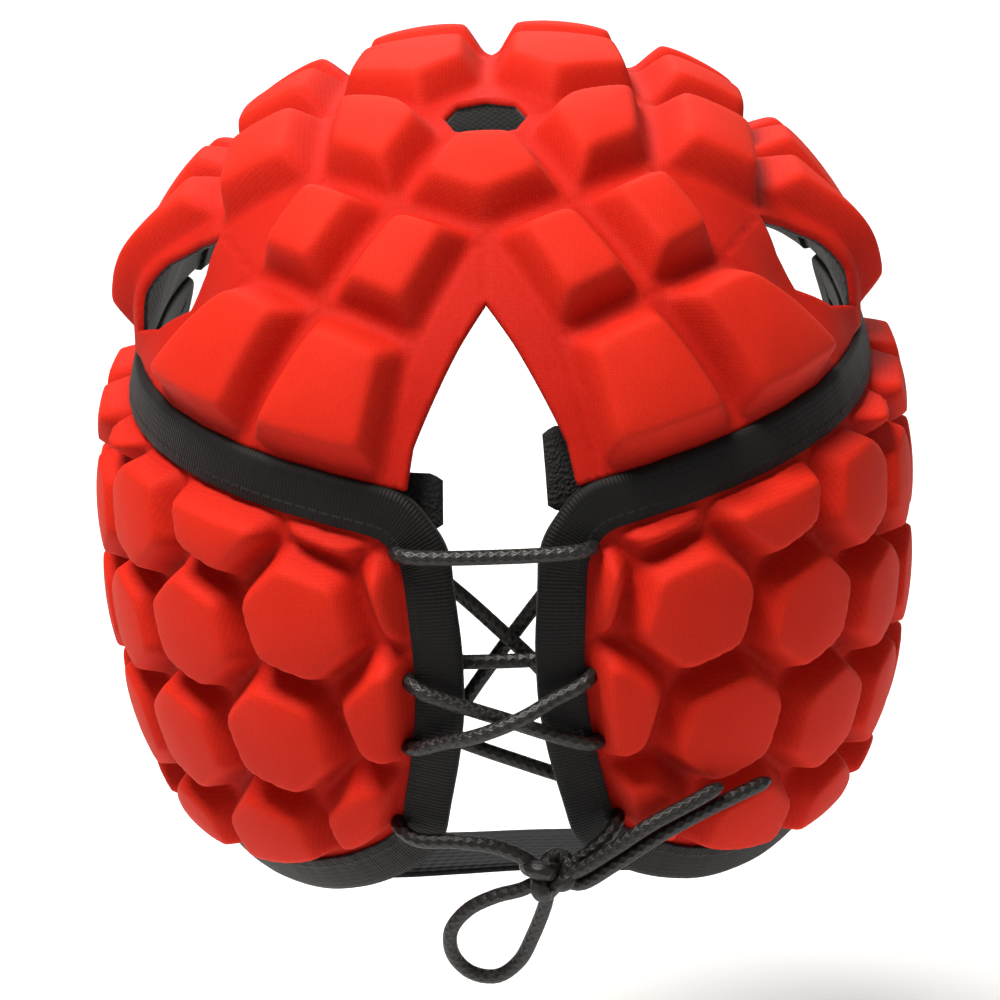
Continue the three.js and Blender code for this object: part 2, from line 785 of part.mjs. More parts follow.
function buildLace(diameter) {
  const firstHole = throughHole(strands[0].from, false);
  const points = [knotExit('laceStart'), ...toVectors(laceStartRoute), ...firstHole];
  strands.forEach((strand, i) => {
    points.push(...strandPoints(strand));
    points.push(...throughHole(strand.to, i % 2 === 0));
  });
  points.push(...toVectors(laceEndRoute), knotExit('laceEnd'));
  return cord(points, laceStep, diameter);
}

function buildKnot() {
  const knot = new THREE.SphereGeometry(1, knotSides, knotRings);
  knot.scale(knotHalf.x, knotHalf.y, knotHalf.z);
  knot.translate(knotCentre.x, knotCentre.y, knotCentre.z);
  return knot;
}

function buildLoop() {
  return cord([knotExit('loopStart'), ...toVectors(loopRoute), knotExit('loopEnd')], cordStep);
}

function buildEnd(exit, route) {
  return cord([knotExit(exit), ...toVectors(route)], cordStep);
}

function toManifold(geometry) {
  const plain = geometry.clone();
  plain.deleteAttribute('normal');
  plain.deleteAttribute('uv');
  const merged = mergeVertices(plain, 1e-3);
  const mesh = new wasm.Mesh({
    numProp: 3,
    vertProperties: new Float32Array(merged.getAttribute('position').array),
    triVerts: new Uint32Array(merged.getIndex().array),
  });
  return new wasm.Manifold(mesh);
}

function fromManifold(solid) {
  const mesh = solid.getMesh();
  const geometry = new THREE.BufferGeometry();
  geometry.setAttribute('position', new THREE.BufferAttribute(new Float32Array(mesh.vertProperties), 3));
  geometry.setIndex([...mesh.triVerts]);
  geometry.computeVertexNormals();
  return geometry;
}

const lacePunch = toManifold(buildLace(laceHoleDiameter));

function withLaceHoles(geometry) {
  return fromManifold(toManifold(geometry).subtract(lacePunch));
}

// Tabs behind the rear flaps: the azimuths of their sections and their lowest and highest elevation
const tabs = {
  left: { azimuths: [-6.8, -11, -15.5, -20], elevations: [17.5, 25] },
  right: { azimuths: [7.4, 11.5, 16, 20], elevations: [19.5, 30.5] },
};
const tabHeight = -sheetThickness - tapeInnerClearance - tapeThickness - pieceGap;

function buildTab({ azimuths, elevations: [low, high] }) {
  const rings = azimuths.map((azimuth) => [
    formPoint(rad(azimuth), rad(low), tabHeight),
    formPoint(rad(azimuth), rad(high), tabHeight),
    formPoint(rad(azimuth), rad(high), tabHeight - tabThickness),
    formPoint(rad(azimuth), rad(low), tabHeight - tabThickness),
  ]);
  return sweep(rings, false);
}

// Chin strap: the right half of its middle line, from inside the side panel to under the chin
const strapAnchorAzimuth = 88;
const strapAnchorElevations = [-27, -32, -37];
const strapAnchorHeight = -7.3;
const strapRoute = [
  [69.6, 0.6, -165.5],
  [67.2, 4, -178],
  [65.4, 8.5, -190],
  [61.2, 15, -202],
  [52, 24, -212.5],
  [37.5, 34, -220.5],
  [19, 42, -225.4],
];
const strapLowest = [0, 45, -226.8];
const strapSteps = 40;

function buildStrap() {
  const anchors = strapAnchorElevations.map((elevation) =>
    formPoint(rad(strapAnchorAzimuth), rad(elevation), strapAnchorHeight)
  );
  const half = [...anchors, ...toVectors(strapRoute)];
  const otherHalf = half.map((point) => new THREE.Vector3(-point.x, point.y, point.z)).reverse();
  const middleLine = [...half, new THREE.Vector3(...strapLowest), ...otherHalf];
  const path = new THREE.CatmullRomCurve3(middleLine, false, 'centripetal');
  const rings = Array.from({ length: strapSteps + 1 }, (_, i) => {
    const middle = path.getPointAt(i / strapSteps);
    const along = path.getTangentAt(i / strapSteps);
    const across = new THREE.Vector3(0, 1, 0).addScaledVector(along, -along.y).normalize();
    const thick = along.clone().cross(across);
    across.multiplyScalar(strapWidth / 2);
    thick.multiplyScalar(strapThickness / 2);
    const corner = (a, b) => middle.clone().addScaledVector(across, a).addScaledVector(thick, b);
    return [corner(-1, -1), corner(1, -1), corner(1, 1), corner(-1, 1)];
  });
  return sweep(rings, false);
}

// Materials and pieces
const red = new THREE.MeshStandardMaterial({ color: 0xd8261a, roughness: 0.85, metalness: 0 });
const blackTape = new THREE.MeshStandardMaterial({ color: 0x1c1a19, roughness: 0.8, metalness: 0 });
const blackLace = new THREE.MeshStandardMaterial({ color: 0x221f1d, roughness: 0.7, metalness: 0 });

function named(name, geometry, material) {
  const mesh = new THREE.Mesh(geometry, material);
  mesh.name = name;
  return mesh;
}

const cap = new THREE.Group();
cap.add(named('crown', buildCrown(), red));
for (const [word, side] of [['left', -1], ['right', 1]]) {
  cap.add(named(`side_panel_${word}`, withLaceHoles(buildPanel(side)), red));
  cap.add(named(`side_binding_${word}`, withLaceHoles(buildPanelTape(side)), blackTape));
}
cap.add(named('brow_binding', buildBrowTape(), blackTape));
cap.add(named('rear_tab_left', buildTab(tabs.left), blackTape));
cap.add(named('rear_tab_right', buildTab(tabs.right), blackTape));
cap.add(named('lace', buildLace(laceDiameter), blackLace));
cap.add(named('lace_knot', buildKnot(), blackLace));
cap.add(named('lace_loop', buildLoop(), blackLace));
cap.add(named('lace_end_upper', buildEnd('upperEnd', upperEndRoute), blackLace));
cap.add(named('lace_end_lower', buildEnd('lowerEnd', lowerEndRoute), blackLace));
cap.add(named('chin_strap', buildStrap(), blackTape));

export default cap;
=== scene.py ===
import math

import bmesh
import bpy
import numpy as np
from mathutils import Matrix, Vector
from mathutils.geometry import delaunay_2d_cdt


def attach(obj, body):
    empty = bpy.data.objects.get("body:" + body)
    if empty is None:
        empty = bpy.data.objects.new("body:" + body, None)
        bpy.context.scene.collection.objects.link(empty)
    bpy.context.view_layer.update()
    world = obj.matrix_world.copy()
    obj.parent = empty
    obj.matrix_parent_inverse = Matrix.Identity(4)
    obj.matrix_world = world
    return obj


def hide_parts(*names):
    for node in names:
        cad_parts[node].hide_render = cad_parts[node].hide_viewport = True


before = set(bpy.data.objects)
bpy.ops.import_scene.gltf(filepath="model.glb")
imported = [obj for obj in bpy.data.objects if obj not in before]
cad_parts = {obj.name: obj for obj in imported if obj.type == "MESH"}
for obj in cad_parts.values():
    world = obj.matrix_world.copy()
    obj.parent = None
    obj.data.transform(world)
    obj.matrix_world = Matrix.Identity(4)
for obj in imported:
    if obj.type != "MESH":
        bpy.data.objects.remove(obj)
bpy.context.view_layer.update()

# Soft padded rugby scrum cap, dressed over its CAD solids.
# Lengths in the tables are millimetres and angles are degrees. Meshes are made in metres.
mm = 0.001

for thing in bpy.context.selected_objects:
    thing.select_set(False)


# Camera and light

cameraLook = {
    "azimuth": 2.0,  # toward the wearer's right, from straight behind
    "elevation": 24.2,
    "roll": 2.75,
    "distance": 850,
    "aim": (0, 0, -98),
    "lens": 126.4,
    "shift": (-0.0064, -0.0182),
}


def makeCamera(look):
    azimuth, elevation = math.radians(look["azimuth"]), math.radians(look["elevation"])
    back = Vector((
        math.sin(azimuth) * math.cos(elevation),
        -math.cos(azimuth) * math.cos(elevation),
        math.sin(elevation),
    ))
    right = Vector((math.cos(azimuth), math.sin(azimuth), 0))
    up = back.cross(right)
    roll = math.radians(look["roll"])
    cameraRight = right * math.cos(roll) - up * math.sin(roll)
    cameraUp = right * math.sin(roll) + up * math.cos(roll)
    data = bpy.data.cameras.new("photoCamera")
    camera = bpy.data.objects.new("photoCamera", data)
    bpy.context.scene.collection.objects.link(camera)
    place = (Vector(look["aim"]) + back * look["distance"]) * mm
    turned = Matrix((cameraRight, cameraUp, back)).transposed().to_4x4()
    camera.matrix_world = Matrix.Translation(place) @ turned
    data.sensor_width = 36
    data.lens = look["lens"]
    data.shift_x, data.shift_y = look["shift"]
    data.clip_start = 0.01
    data.clip_end = 50
    bpy.context.scene.camera = camera


makeCamera(cameraLook)

lightLook = {
    "sky": ("#ffffff", 0.18),
    "floor": "#ffffff",
    "floorHeight": -330,
    # name: place, size, power in watts, colour
    "lamps": {
        "keyBox": ((-380, -220, 1250), 550, 36.0, "#fffaf4"),
        "fillBox": ((900, -500, 350), 700, 0.9, "#ffffff"),
        "frontBox": ((0, 1500, 900), 1100, 16.0, "#ffffff"),
    },
}


def linear(hexColour):
    parts = [int(hexColour[i:i + 2], 16) / 255 for i in (1, 3, 5)]
    return tuple(c / 12.92 if c <= 0.04045 else ((c + 0.055) / 1.055) ** 2.4 for c in parts) + (1.0,)


def addNode(tree, kind, settings=None, links=None):
    node = tree.nodes.new(kind)
    for key, value in (settings or {}).items():
        if isinstance(key, str) and key not in node.inputs:
            setattr(node, key, value)
        else:
            node.inputs[key].default_value = value
    for key, source in (links or {}).items():
        tree.links.new(source, node.inputs[key])
    return node


def makeStage(look):
    scene = bpy.context.scene
    scene.view_settings.view_transform = "Standard"
    world = bpy.data.worlds.new("softStudio")
    scene.world = world
    world.use_nodes = True
    colour, strength = look["sky"]
    background = world.node_tree.nodes["Background"]
    background.inputs["Color"].default_value = linear(colour)
    background.inputs["Strength"].default_value = strength
    for name, (place, size, power, tint) in look["lamps"].items():
        data = bpy.data.lights.new(name, "AREA")
        data.size = size * mm
        data.energy = power
        data.color = linear(tint)[:3]
        lamp = bpy.data.objects.new(name, data)
        scene.collection.objects.link(lamp)
        spot = Vector(place) * mm
        toward = Vector((0, 0, -0.09)) - spot
        lamp.matrix_world = Matrix.Translation(spot) @ toward.to_track_quat("-Z", "Y").to_matrix().to_4x4()
    bpy.ops.mesh.primitive_plane_add(size=14, location=(0, 0, look["floorHeight"] * mm))
    floor = bpy.context.object
    floor.name = "floor"
    bpy.ops.object.transform_apply(location=True, rotation=True, scale=True)
    paint = bpy.data.materials.new("matt painted floor")
    paint.use_nodes = True
    shader = paint.node_tree.nodes["Principled BSDF"]
    shader.inputs["Base Color"].default_value = linear(look["floor"])
    shader.inputs["Roughness"].default_value = 0.9
    floor.data.materials.append(paint)
    floor.select_set(False)


makeStage(lightLook)
print("camera, lights and floor made")


# Head form shared by every piece

form = {
    "centre": -98,  # height of its middle
    "halfWidth": 89.5,
    "rear": 99,
    "front": 102,
    "rise": 100.5,
    "drop": 111.5,
    "roundness": 2.32,
    "mapRadius": 102,
}


# Points of the form, for angles in radians, raised along the form's normal by a height
def formPoints(azimuth, elevation, height):
    azimuth, elevation, height = np.broadcast_arrays(azimuth, elevation, height)
    direction = np.stack([
        np.sin(azimuth) * np.cos(elevation),
        -np.cos(azimuth) * np.cos(elevation),
        np.sin(elevation),
    ], -1)
    size = np.stack([
        np.full(azimuth.shape, form["halfWidth"], float),
        np.where(direction[..., 1] < 0, form["rear"], form["front"]),
        np.where(direction[..., 2] < 0, form["drop"], form["rise"]),
    ], -1)
    scaled = direction / size
    power = form["roundness"]
    reach = (np.abs(scaled) ** power).sum(-1) ** (-1 / power)
    normal = np.sign(scaled) * np.abs(scaled) ** (power - 1) / size
    normal /= np.linalg.norm(normal, axis=-1, keepdims=True)
    point = direction * reach[..., None] + normal * height[..., None]
    return point + np.array([0, 0, form["centre"]])


def formPoint(azimuth, elevation, height):
    return formPoints(math.radians(azimuth), math.radians(elevation), float(height))


# The crown is laid out flat around the top, the side panels along the form's middle
def placeOnCrown(flat, height):
    flat = np.asarray(flat, float)
    arc = np.hypot(flat[..., 0], flat[..., 1])
    return formPoints(np.arctan2(flat[..., 0], flat[..., 1]), math.pi / 2 - arc / form["mapRadius"], height)


def placeOnSide(flat, height):
    flat = np.asarray(flat, float)
    return formPoints(flat[..., 0] / form["mapRadius"], flat[..., 1] / form["mapRadius"], height)


# Mesh helpers

def finishMesh(name, points, faces, faceUv, faceMaterials, materials, rise=None):
    mesh = bpy.data.meshes.new(name)
    mesh.from_pydata((np.asarray(points, float) * mm).tolist(), [], faces)
    layer = mesh.uv_layers.new(name="surface")
    layer.data.foreach_set("uv", np.asarray(faceUv, np.float32).ravel())
    for material in materials:
        mesh.materials.append(material)
    mesh.polygons.foreach_set("material_index", faceMaterials)
    mesh.polygons.foreach_set("use_smooth", [True] * len(faces))
    if rise is not None:
        # rise sets painted shade in the red knit: darker low in the channels, lighter high on the pads
        attribute = mesh.attributes.new("rise", "FLOAT", "POINT")
        attribute.data.foreach_set("value", np.asarray(rise, np.float32))
    editing = bmesh.new()
    editing.from_mesh(mesh)
    bmesh.ops.recalc_face_normals(editing, faces=editing.faces)
    editing.to_mesh(mesh)
    editing.free()
    piece = bpy.data.objects.new(name, mesh)
    bpy.context.scene.collection.objects.link(piece)
    return piece


# A closed skin through rings of points. along and around are the pattern's places in mm
def sweptMesh(name, rings, along, around, material, isLoop=False):
    rings = np.asarray(rings, float)
    count, sides = rings.shape[:2]
    points = list(rings.reshape(-1, 3))
    faces, faceUv = [], []
    last = count if isLoop else count - 1
    for i in range(last):
        j = (i + 1) % count
        for k in range(sides):
            m = (k + 1) % sides
            faces.append((i * sides + k, j * sides + k, j * sides + m, i * sides + m))
            faceUv += [
                (along[i], around[k]), (along[i + 1], around[k]),
                (along[i + 1], around[k + 1]), (along[i], around[k + 1]),
            ]
    if not isLoop:
        for i in (0, count - 1):
            points.append(rings[i].mean(0))
            for k in range(sides):
                m = (k + 1) % sides
                faces.append((i * sides + k, i * sides + m, len(points) - 1))
                faceUv += [(along[i], around[k]), (along[i], around[k + 1]), (along[i], around[k])]
    return finishMesh(name, points, faces, faceUv, [0] * len(faces), [material])


def lengthsAlong(points):
    return np.concatenate([[0], np.cumsum(np.linalg.norm(np.diff(points, axis=0), axis=1))])


def blended(a, b, t, low, high):
    return (high - t) / (high - low) * a + (t - low) / (high - low) * b


# Centripetal curve through the points, in even steps
def smoothPath(points, step):
    points = np.asarray(points, float)
    padded = [2 * points[0] - points[1], *points, 2 * points[-1] - points[-2]]
    fine = []
    for i in range(len(points) - 1):
        p0, p1, p2, p3 = padded[i:i + 4]
        t0 = 0.0
        t1 = t0 + np.linalg.norm(p1 - p0) ** 0.5
        t2 = t1 + np.linalg.norm(p2 - p1) ** 0.5
        t3 = t2 + np.linalg.norm(p3 - p2) ** 0.5
        t = np.linspace(t1, t2, 16, endpoint=False)[:, None]
        a1 = blended(p0, p1, t, t0, t1)
        a2 = blended(p1, p2, t, t1, t2)
        a3 = blended(p2, p3, t, t2, t3)
        b1 = blended(a1, a2, t, t0, t2)
        b2 = blended(a2, a3, t, t1, t3)
        fine.append(blended(b1, b2, t, t1, t2))
    fine = np.vstack([*fine, points[-1:]])
    travelled = lengthsAlong(fine)
    stops = np.linspace(0, travelled[-1], max(3, round(travelled[-1] / step)) + 1)
    return np.stack([np.interp(stops, travelled, fine[:, axis]) for axis in range(3)], 1), stops


# Two directions across a path that turn with it as little as possible
def framesAlong(path):
    tangents = np.gradient(path, axis=0)
    tangents /= np.linalg.norm(tangents, axis=1, keepdims=True)
    guess = np.array([0.0, 0.0, 1.0]) if abs(tangents[0][2]) < 0.9 else np.array([1.0, 0.0, 0.0])
    across = []
    for tangent in tangents:
        guess = guess - tangent * guess.dot(tangent)
        guess = guess / np.linalg.norm(guess)
        across.append(guess)
    across = np.array(across)
    return across, np.cross(tangents, across)


# A cord whose last two rings draw in at each end
def tubeMesh(name, path, stops, radius, sides, material):
    first, second = framesAlong(path)
    angles = np.linspace(0, 2 * math.pi, sides, endpoint=False)
    radii = np.full(len(path), float(radius))
    for i, share in enumerate((0.45, 0.85)):
        radii[i] *= share
        radii[-1 - i] *= share
    rings = (
        path[:, None, :]
        + first[:, None, :] * (np.cos(angles)[None, :, None] * radii[:, None, None])
        + second[:, None, :] * (np.sin(angles)[None, :, None] * radii[:, None, None])
    )
    return sweptMesh(name, rings, stops, np.linspace(0, 1, sides + 1), material)


# Materials

# A wave texture's bands repeat every 0.314 units at scale 1, so a pitch in mm gives its scale
def waveScale(pitch):
    return 0.314159 / pitch


clothLook = {
    "red": {
        # the red runs from deep, painted shade in the channels, to light, painted light on pad tops, with the
        # knit's grain and cloud between
        "light": "#d12814",
        "deep": "#980a04",
        "wale": 0.7,  # loop columns, a little wider than the real 0.5 mm so that they show
        "course": 0.6,
        "napShare": 0.5,
        # share of painted shade by the rise attribute: channels darker, pad tops lighter
        "riseShadeShare": 0.42,
        "cloudShare": 0.35,
        "dent": 1.1,  # mm
        "roughness": 0.74,
        "specular": 0.12,
        "sheen": 0.04,
        "bump": (0.4, 0.06),  # strength, and height in mm
    },
    "lining": {
        "light": "#121213", "deep": "#060606", "pitch": 1.6,
        "roughness": 0.8, "specular": 0.5, "sheen": 0.15, "bump": (0.6, 0.25),
    },
    "tape": {
        "light": "#0f0d0c", "deep": "#040404", "rib": 0.9,
        "stitch": 3.1,  # mm from one stitch to the next
        "stitchPlace": 7.4,  # mm in from the folded edge
        "roughness": 0.66, "specular": 0.22, "sheen": 0.04, "bump": (0.6, 0.16),
    },
    "lace": {
        "light": "#141210", "deep": "#040303", "plait": 2.4, "strands": 5,
        "roughness": 0.5, "specular": 0.5, "sheen": 0, "bump": (0.7, 0.2),
    },
    "webbing": {
        "light": "#141312", "deep": "#060606", "pitch": 1.7,
        "roughness": 0.6, "specular": 0.25, "sheen": 0, "bump": (0.7, 0.2),
    },
    "hook": {
        "light": "#1b1817", "deep": "#050505", "pitch": 0.9,
        "roughness": 0.9, "specular": 0.5, "sheen": 0, "bump": (0.9, 0.4),
    },
}


def startMaterial(name):
    material = bpy.data.materials.new(name)
    material.use_nodes = True
    tree = material.node_tree
    shader = tree.nodes["Principled BSDF"]
    uv = addNode(tree, "ShaderNodeUVMap", {"uv_map": "surface"}).outputs["UV"]
    return material, tree, shader, uv


# Colour between deep and light by a level, and a surface raised by a height
def dressCloth(tree, shader, look, level, height, under=None):
    colour = addNode(tree, "ShaderNodeMix", {
        "data_type": "RGBA", 6: linear(look["deep"]), 7: linear(look["light"]),
    }, {0: level})
    tree.links.new(colour.outputs[2], shader.inputs["Base Color"])
    strength, rise = look["bump"]
    bump = addNode(
        tree, "ShaderNodeBump", {"Strength": strength, "Distance": rise * mm},
        {"Height": height},
    )
    if under is not None:
        tree.links.new(under, bump.inputs["Normal"])
    tree.links.new(bump.outputs[0], shader.inputs["Normal"])
    shader.inputs["Roughness"].default_value = look["roughness"]
    shader.inputs["Specular IOR Level"].default_value = look["specular"]
    shader.inputs["Sheen Weight"].default_value = look["sheen"]


# Polyester knit bonded to EVA foam by heat: a matt face with a soft nap, fine loops in rows
def makeRedKnit(look):
    material, tree, shader, uv = startMaterial("red polyester knit bonded to EVA foam")
    wales = addNode(tree, "ShaderNodeTexWave", {
        "bands_direction": "X", "Scale": waveScale(look["wale"]), "Distortion": 2.4, "Detail": 1.0,
        "Detail Scale": 0.6,
    }, {"Vector": uv})
    courses = addNode(tree, "ShaderNodeTexWave", {
        "bands_direction": "Y", "Scale": waveScale(look["course"]), "Distortion": 2.4, "Detail": 1.0,
        "Detail Scale": 0.6,
    }, {"Vector": uv})
    loops = addNode(
        tree, "ShaderNodeMath", {"operation": "MULTIPLY"},
        {0: wales.outputs["Fac"], 1: courses.outputs["Fac"]},
    )
    fuzz = addNode(
        tree, "ShaderNodeTexNoise", {"Scale": 1.2, "Detail": 3.0, "Roughness": 0.65},
        {"Vector": uv},
    )
    cloud = addNode(tree, "ShaderNodeTexNoise", {"Scale": 0.045, "Detail": 2.0}, {"Vector": uv})
    rise = addNode(tree, "ShaderNodeAttribute", {"attribute_name": "rise"})
    # colour: loops and nap vary a little, and painted shade makes the channels and low pad slopes darker
    # while pad tops are painted lighter
    grain = addNode(
        tree, "ShaderNodeMath", {"operation": "MULTIPLY_ADD", 1: look["napShare"]},
        {0: loops.outputs[0], 2: fuzz.outputs["Fac"]},
    )
    spread = addNode(
        tree, "ShaderNodeMapRange", {"From Min": 0.3, "From Max": 1.0, "To Min": 0.0, "To Max": 0.32},
        {"Value": grain.outputs[0]},
    )
    # painted shade and painted light: the rise attribute darkens channels and lightens pad tops
    riseShade = addNode(
        tree, "ShaderNodeMath", {"operation": "MULTIPLY_ADD", 1: look["riseShadeShare"]},
        {0: rise.outputs["Fac"], 2: spread.outputs[0]},
    )
    clouded = addNode(
        tree, "ShaderNodeMath", {"operation": "MULTIPLY_ADD", 1: look["cloudShare"], "use_clamp": True},
        {0: cloud.outputs["Fac"], 2: riseShade.outputs[0]},
    )
    # slow unevenness where the foam moved in the mould lies under the loops
    dents = addNode(
        tree, "ShaderNodeBump", {"Strength": 0.6, "Distance": look["dent"] * mm},
        {"Height": cloud.outputs["Fac"]},
    )
    dressCloth(tree, shader, look, clouded.outputs[0], grain.outputs[0], dents.outputs[0])
    shader.inputs["Sheen Roughness"].default_value = 0.45
    shader.inputs["Sheen Tint"].default_value = linear("#ff8a5c")
    return material


# Warp knit tricot lining: black, dull, an open net with a diamond repeat
def makeLining(look):
    material, tree, shader, uv = startMaterial("black tricot lining")
    turned = addNode(tree, "ShaderNodeMapping", {"Rotation": (0, 0, math.radians(45))}, {"Vector": uv})
    first = addNode(
        tree, "ShaderNodeTexWave", {"bands_direction": "X", "Scale": waveScale(look["pitch"])},
        {"Vector": turned.outputs[0]},
    )
    second = addNode(
        tree, "ShaderNodeTexWave", {"bands_direction": "Y", "Scale": waveScale(look["pitch"])},
        {"Vector": turned.outputs[0]},
    )
    net = addNode(
        tree, "ShaderNodeMath", {"operation": "MAXIMUM"},
        {0: first.outputs["Fac"], 1: second.outputs["Fac"]},
    )
    dressCloth(tree, shader, look, net.outputs[0], net.outputs[0])
    return material


# Woven nylon binding: ribs across the tape, one row of lock stitches near its edge
def makeTape(look):
    material, tree, shader, uv = startMaterial("black woven nylon binding tape")
    ribs = addNode(
        tree, "ShaderNodeTexWave",
        {"bands_direction": "X", "Scale": waveScale(look["rib"]), "Distortion": 0.6, "Detail": 1.0},
        {"Vector": uv},
    )
    yarns = addNode(
        tree, "ShaderNodeTexWave",
        {"bands_direction": "Y", "Scale": waveScale(look["rib"] * 1.4), "Distortion": 0.4},
        {"Vector": uv},
    )
    cloud = addNode(tree, "ShaderNodeTexNoise", {"Scale": 0.12, "Detail": 3.0}, {"Vector": uv})
    places = addNode(tree, "ShaderNodeSeparateXYZ", {}, {"Vector": uv})
    across = addNode(tree, "ShaderNodeMath", {"operation": "ABSOLUTE"}, {0: places.outputs["Y"]})
    # a thread shows within 0.5 mm of its line, and dips into the cloth between two stitches
    offLine = addNode(
        tree, "ShaderNodeMath", {"operation": "SUBTRACT", 1: look["stitchPlace"]},
        {0: across.outputs[0]},
    )
    away = addNode(tree, "ShaderNodeMath", {"operation": "ABSOLUTE"}, {0: offLine.outputs[0]})
    row = addNode(
        tree, "ShaderNodeMapRange", {"From Min": 0.2, "From Max": 0.5, "To Min": 1.0, "To Max": 0.0},
        {"Value": away.outputs[0]},
    )
    dash = addNode(
        tree, "ShaderNodeMath", {"operation": "PINGPONG", 1: look["stitch"] / 2},
        {0: places.outputs["X"]},
    )
    on = addNode(
        tree, "ShaderNodeMapRange", {"From Min": 0.15, "From Max": 0.5},
        {"Value": dash.outputs[0]},
    )
    thread = addNode(
        tree, "ShaderNodeMath", {"operation": "MULTIPLY"},
        {0: row.outputs[0], 1: on.outputs[0]},
    )
    weave = addNode(
        tree, "ShaderNodeMath", {"operation": "MULTIPLY_ADD", 1: 0.4},
        {0: yarns.outputs["Fac"], 2: ribs.outputs["Fac"]},
    )
    mixed = addNode(
        tree, "ShaderNodeMath", {"operation": "MULTIPLY"},
        {0: weave.outputs[0], 1: cloud.outputs["Fac"]},
    )
    lit = addNode(
        tree, "ShaderNodeMath", {"operation": "MULTIPLY_ADD", 1: 0.8, "use_clamp": True},
        {0: thread.outputs[0], 2: mixed.outputs[0]},
    )
    height = addNode(
        tree, "ShaderNodeMath", {"operation": "MULTIPLY_ADD", 1: 2.2},
        {0: thread.outputs[0], 2: weave.outputs[0]},
    )
    dressCloth(tree, shader, look, lit.outputs[0], height.outputs[0])
    return material


# Braided elastic: polyester yarns cross over a rubber core, so it has a herringbone face
def makeLace(look):
    material, tree, shader, uv = startMaterial("black braided elastic lace")
    places = addNode(tree, "ShaderNodeSeparateXYZ", {}, {"Vector": uv})
    along = addNode(
        tree, "ShaderNodeMath", {"operation": "MULTIPLY", 1: 2 * math.pi / look["plait"]},
        {0: places.outputs["X"]},
    )
    around = addNode(
        tree, "ShaderNodeMath", {"operation": "MULTIPLY", 1: 2 * math.pi * look["strands"]},
        {0: places.outputs["Y"]},
    )
    rightHand = addNode(
        tree, "ShaderNodeMath", {"operation": "ADD"},
        {0: along.outputs[0], 1: around.outputs[0]},
    )
    leftHand = addNode(
        tree, "ShaderNodeMath", {"operation": "SUBTRACT"},
        {0: along.outputs[0], 1: around.outputs[0]},
    )
    rightWave = addNode(tree, "ShaderNodeMath", {"operation": "SINE"}, {0: rightHand.outputs[0]})
    leftWave = addNode(tree, "ShaderNodeMath", {"operation": "SINE"}, {0: leftHand.outputs[0]})
    crossing = addNode(
        tree, "ShaderNodeMath", {"operation": "MAXIMUM"},
        {0: rightWave.outputs[0], 1: leftWave.outputs[0]},
    )
    level = addNode(
        tree, "ShaderNodeMapRange", {"From Min": -0.6, "From Max": 1.0},
        {"Value": crossing.outputs[0]},
    )
    dressCloth(tree, shader, look, level.outputs[0], level.outputs[0])
    return material


# Woven polypropylene webbing: raised warp ribs along it with a slanting weave
def makeWebbing(look):
    material, tree, shader, uv = startMaterial("black woven polypropylene webbing")
    ribs = addNode(
        tree, "ShaderNodeTexWave", {"bands_direction": "Y", "Scale": waveScale(look["pitch"])},
        {"Vector": uv},
    )
    slant = addNode(
        tree, "ShaderNodeTexWave", {"bands_direction": "DIAGONAL", "Scale": waveScale(look["pitch"])},
        {"Vector": uv},
    )
    weave = addNode(
        tree, "ShaderNodeMath", {"operation": "MULTIPLY_ADD", 1: 0.7},
        {0: slant.outputs["Fac"], 2: ribs.outputs["Fac"]},
    )
    level = addNode(
        tree, "ShaderNodeMapRange", {"From Min": 0.2, "From Max": 1.7},
        {"Value": weave.outputs[0]},
    )
    dressCloth(tree, shader, look, level.outputs[0], level.outputs[0])
    return material


# Hook and loop tape: a dense dark pile, dull all over
def makeHookTape(look):
    material, tree, shader, uv = startMaterial("black nylon hook and loop tape")
    tufts = addNode(tree, "ShaderNodeTexVoronoi", {"Scale": 1 / look["pitch"]}, {"Vector": uv})
    level = addNode(
        tree, "ShaderNodeMapRange", {"From Min": 0.0, "From Max": 0.7, "To Min": 1.0, "To Max": 0.0},
        {"Value": tufts.outputs["Distance"]},
    )
    dressCloth(tree, shader, look, level.outputs[0], level.outputs[0])
    return material


redKnit = makeRedKnit(clothLook["red"])
lining = makeLining(clothLook["lining"])
tapeCloth = makeTape(clothLook["tape"])
laceBraid = makeLace(clothLook["lace"])
webbing = makeWebbing(clothLook["webbing"])
hookTape = makeHookTape(clothLook["hook"])
print("cloth materials made")


# Lace, its knot, loop and ends

lacing = {
    "diameter": 3.3,
    "sides": 14,
    "step": 1.3,
    # azimuth and elevation of the right side's holes, from the top down
    "holes": [(12.3, 15.6), (11.3, -1.2), (12, -10.6), (14.6, -22.6)],
    "holeHeights": (-5.4, -1.8, 1.6),
    "shares": (0.08, 0.2, 0.35, 0.5, 0.65, 0.8, 0.92),
    "heights": {
        "over": (3.8, 4, 3.8, 3.6, 3.8, 4, 3.8),
        "overTop": (3.8, 4.6, 6.9, 7.6, 6.9, 4.6, 3.8),
        "under": (-7.7, -8, -8, -8, -8, -8, -7.7),
        "underSecond": (-7.7, -9.6, -11.6, -11.8, -11.6, -9.6, -7.7),
        "underThird": (-7.7, -12, -15.4, -15.6, -14.6, -12, -7.7),
    },
    # from and to a hole, as side and row, and how high the strand lies
    "strands": [
        ((-1, 3), (1, 0), "underThird"),
        ((1, 0), (-1, 0), "over"),
        ((-1, 0), (1, 2), "underSecond"),
        ((1, 2), (-1, 1), "over"),
        ((-1, 1), (1, 1), "under"),
        ((1, 1), (-1, 2), "overTop"),
        ((-1, 2), (1, 3), "under"),
    ],
    "startRoute": [(-2.5, -101.2, -140.8), (-11, -100.4, -139.6), (-20.5, -98.4, -139.8)],
    "endRoute": [(21.5, -98.6, -141)],
}

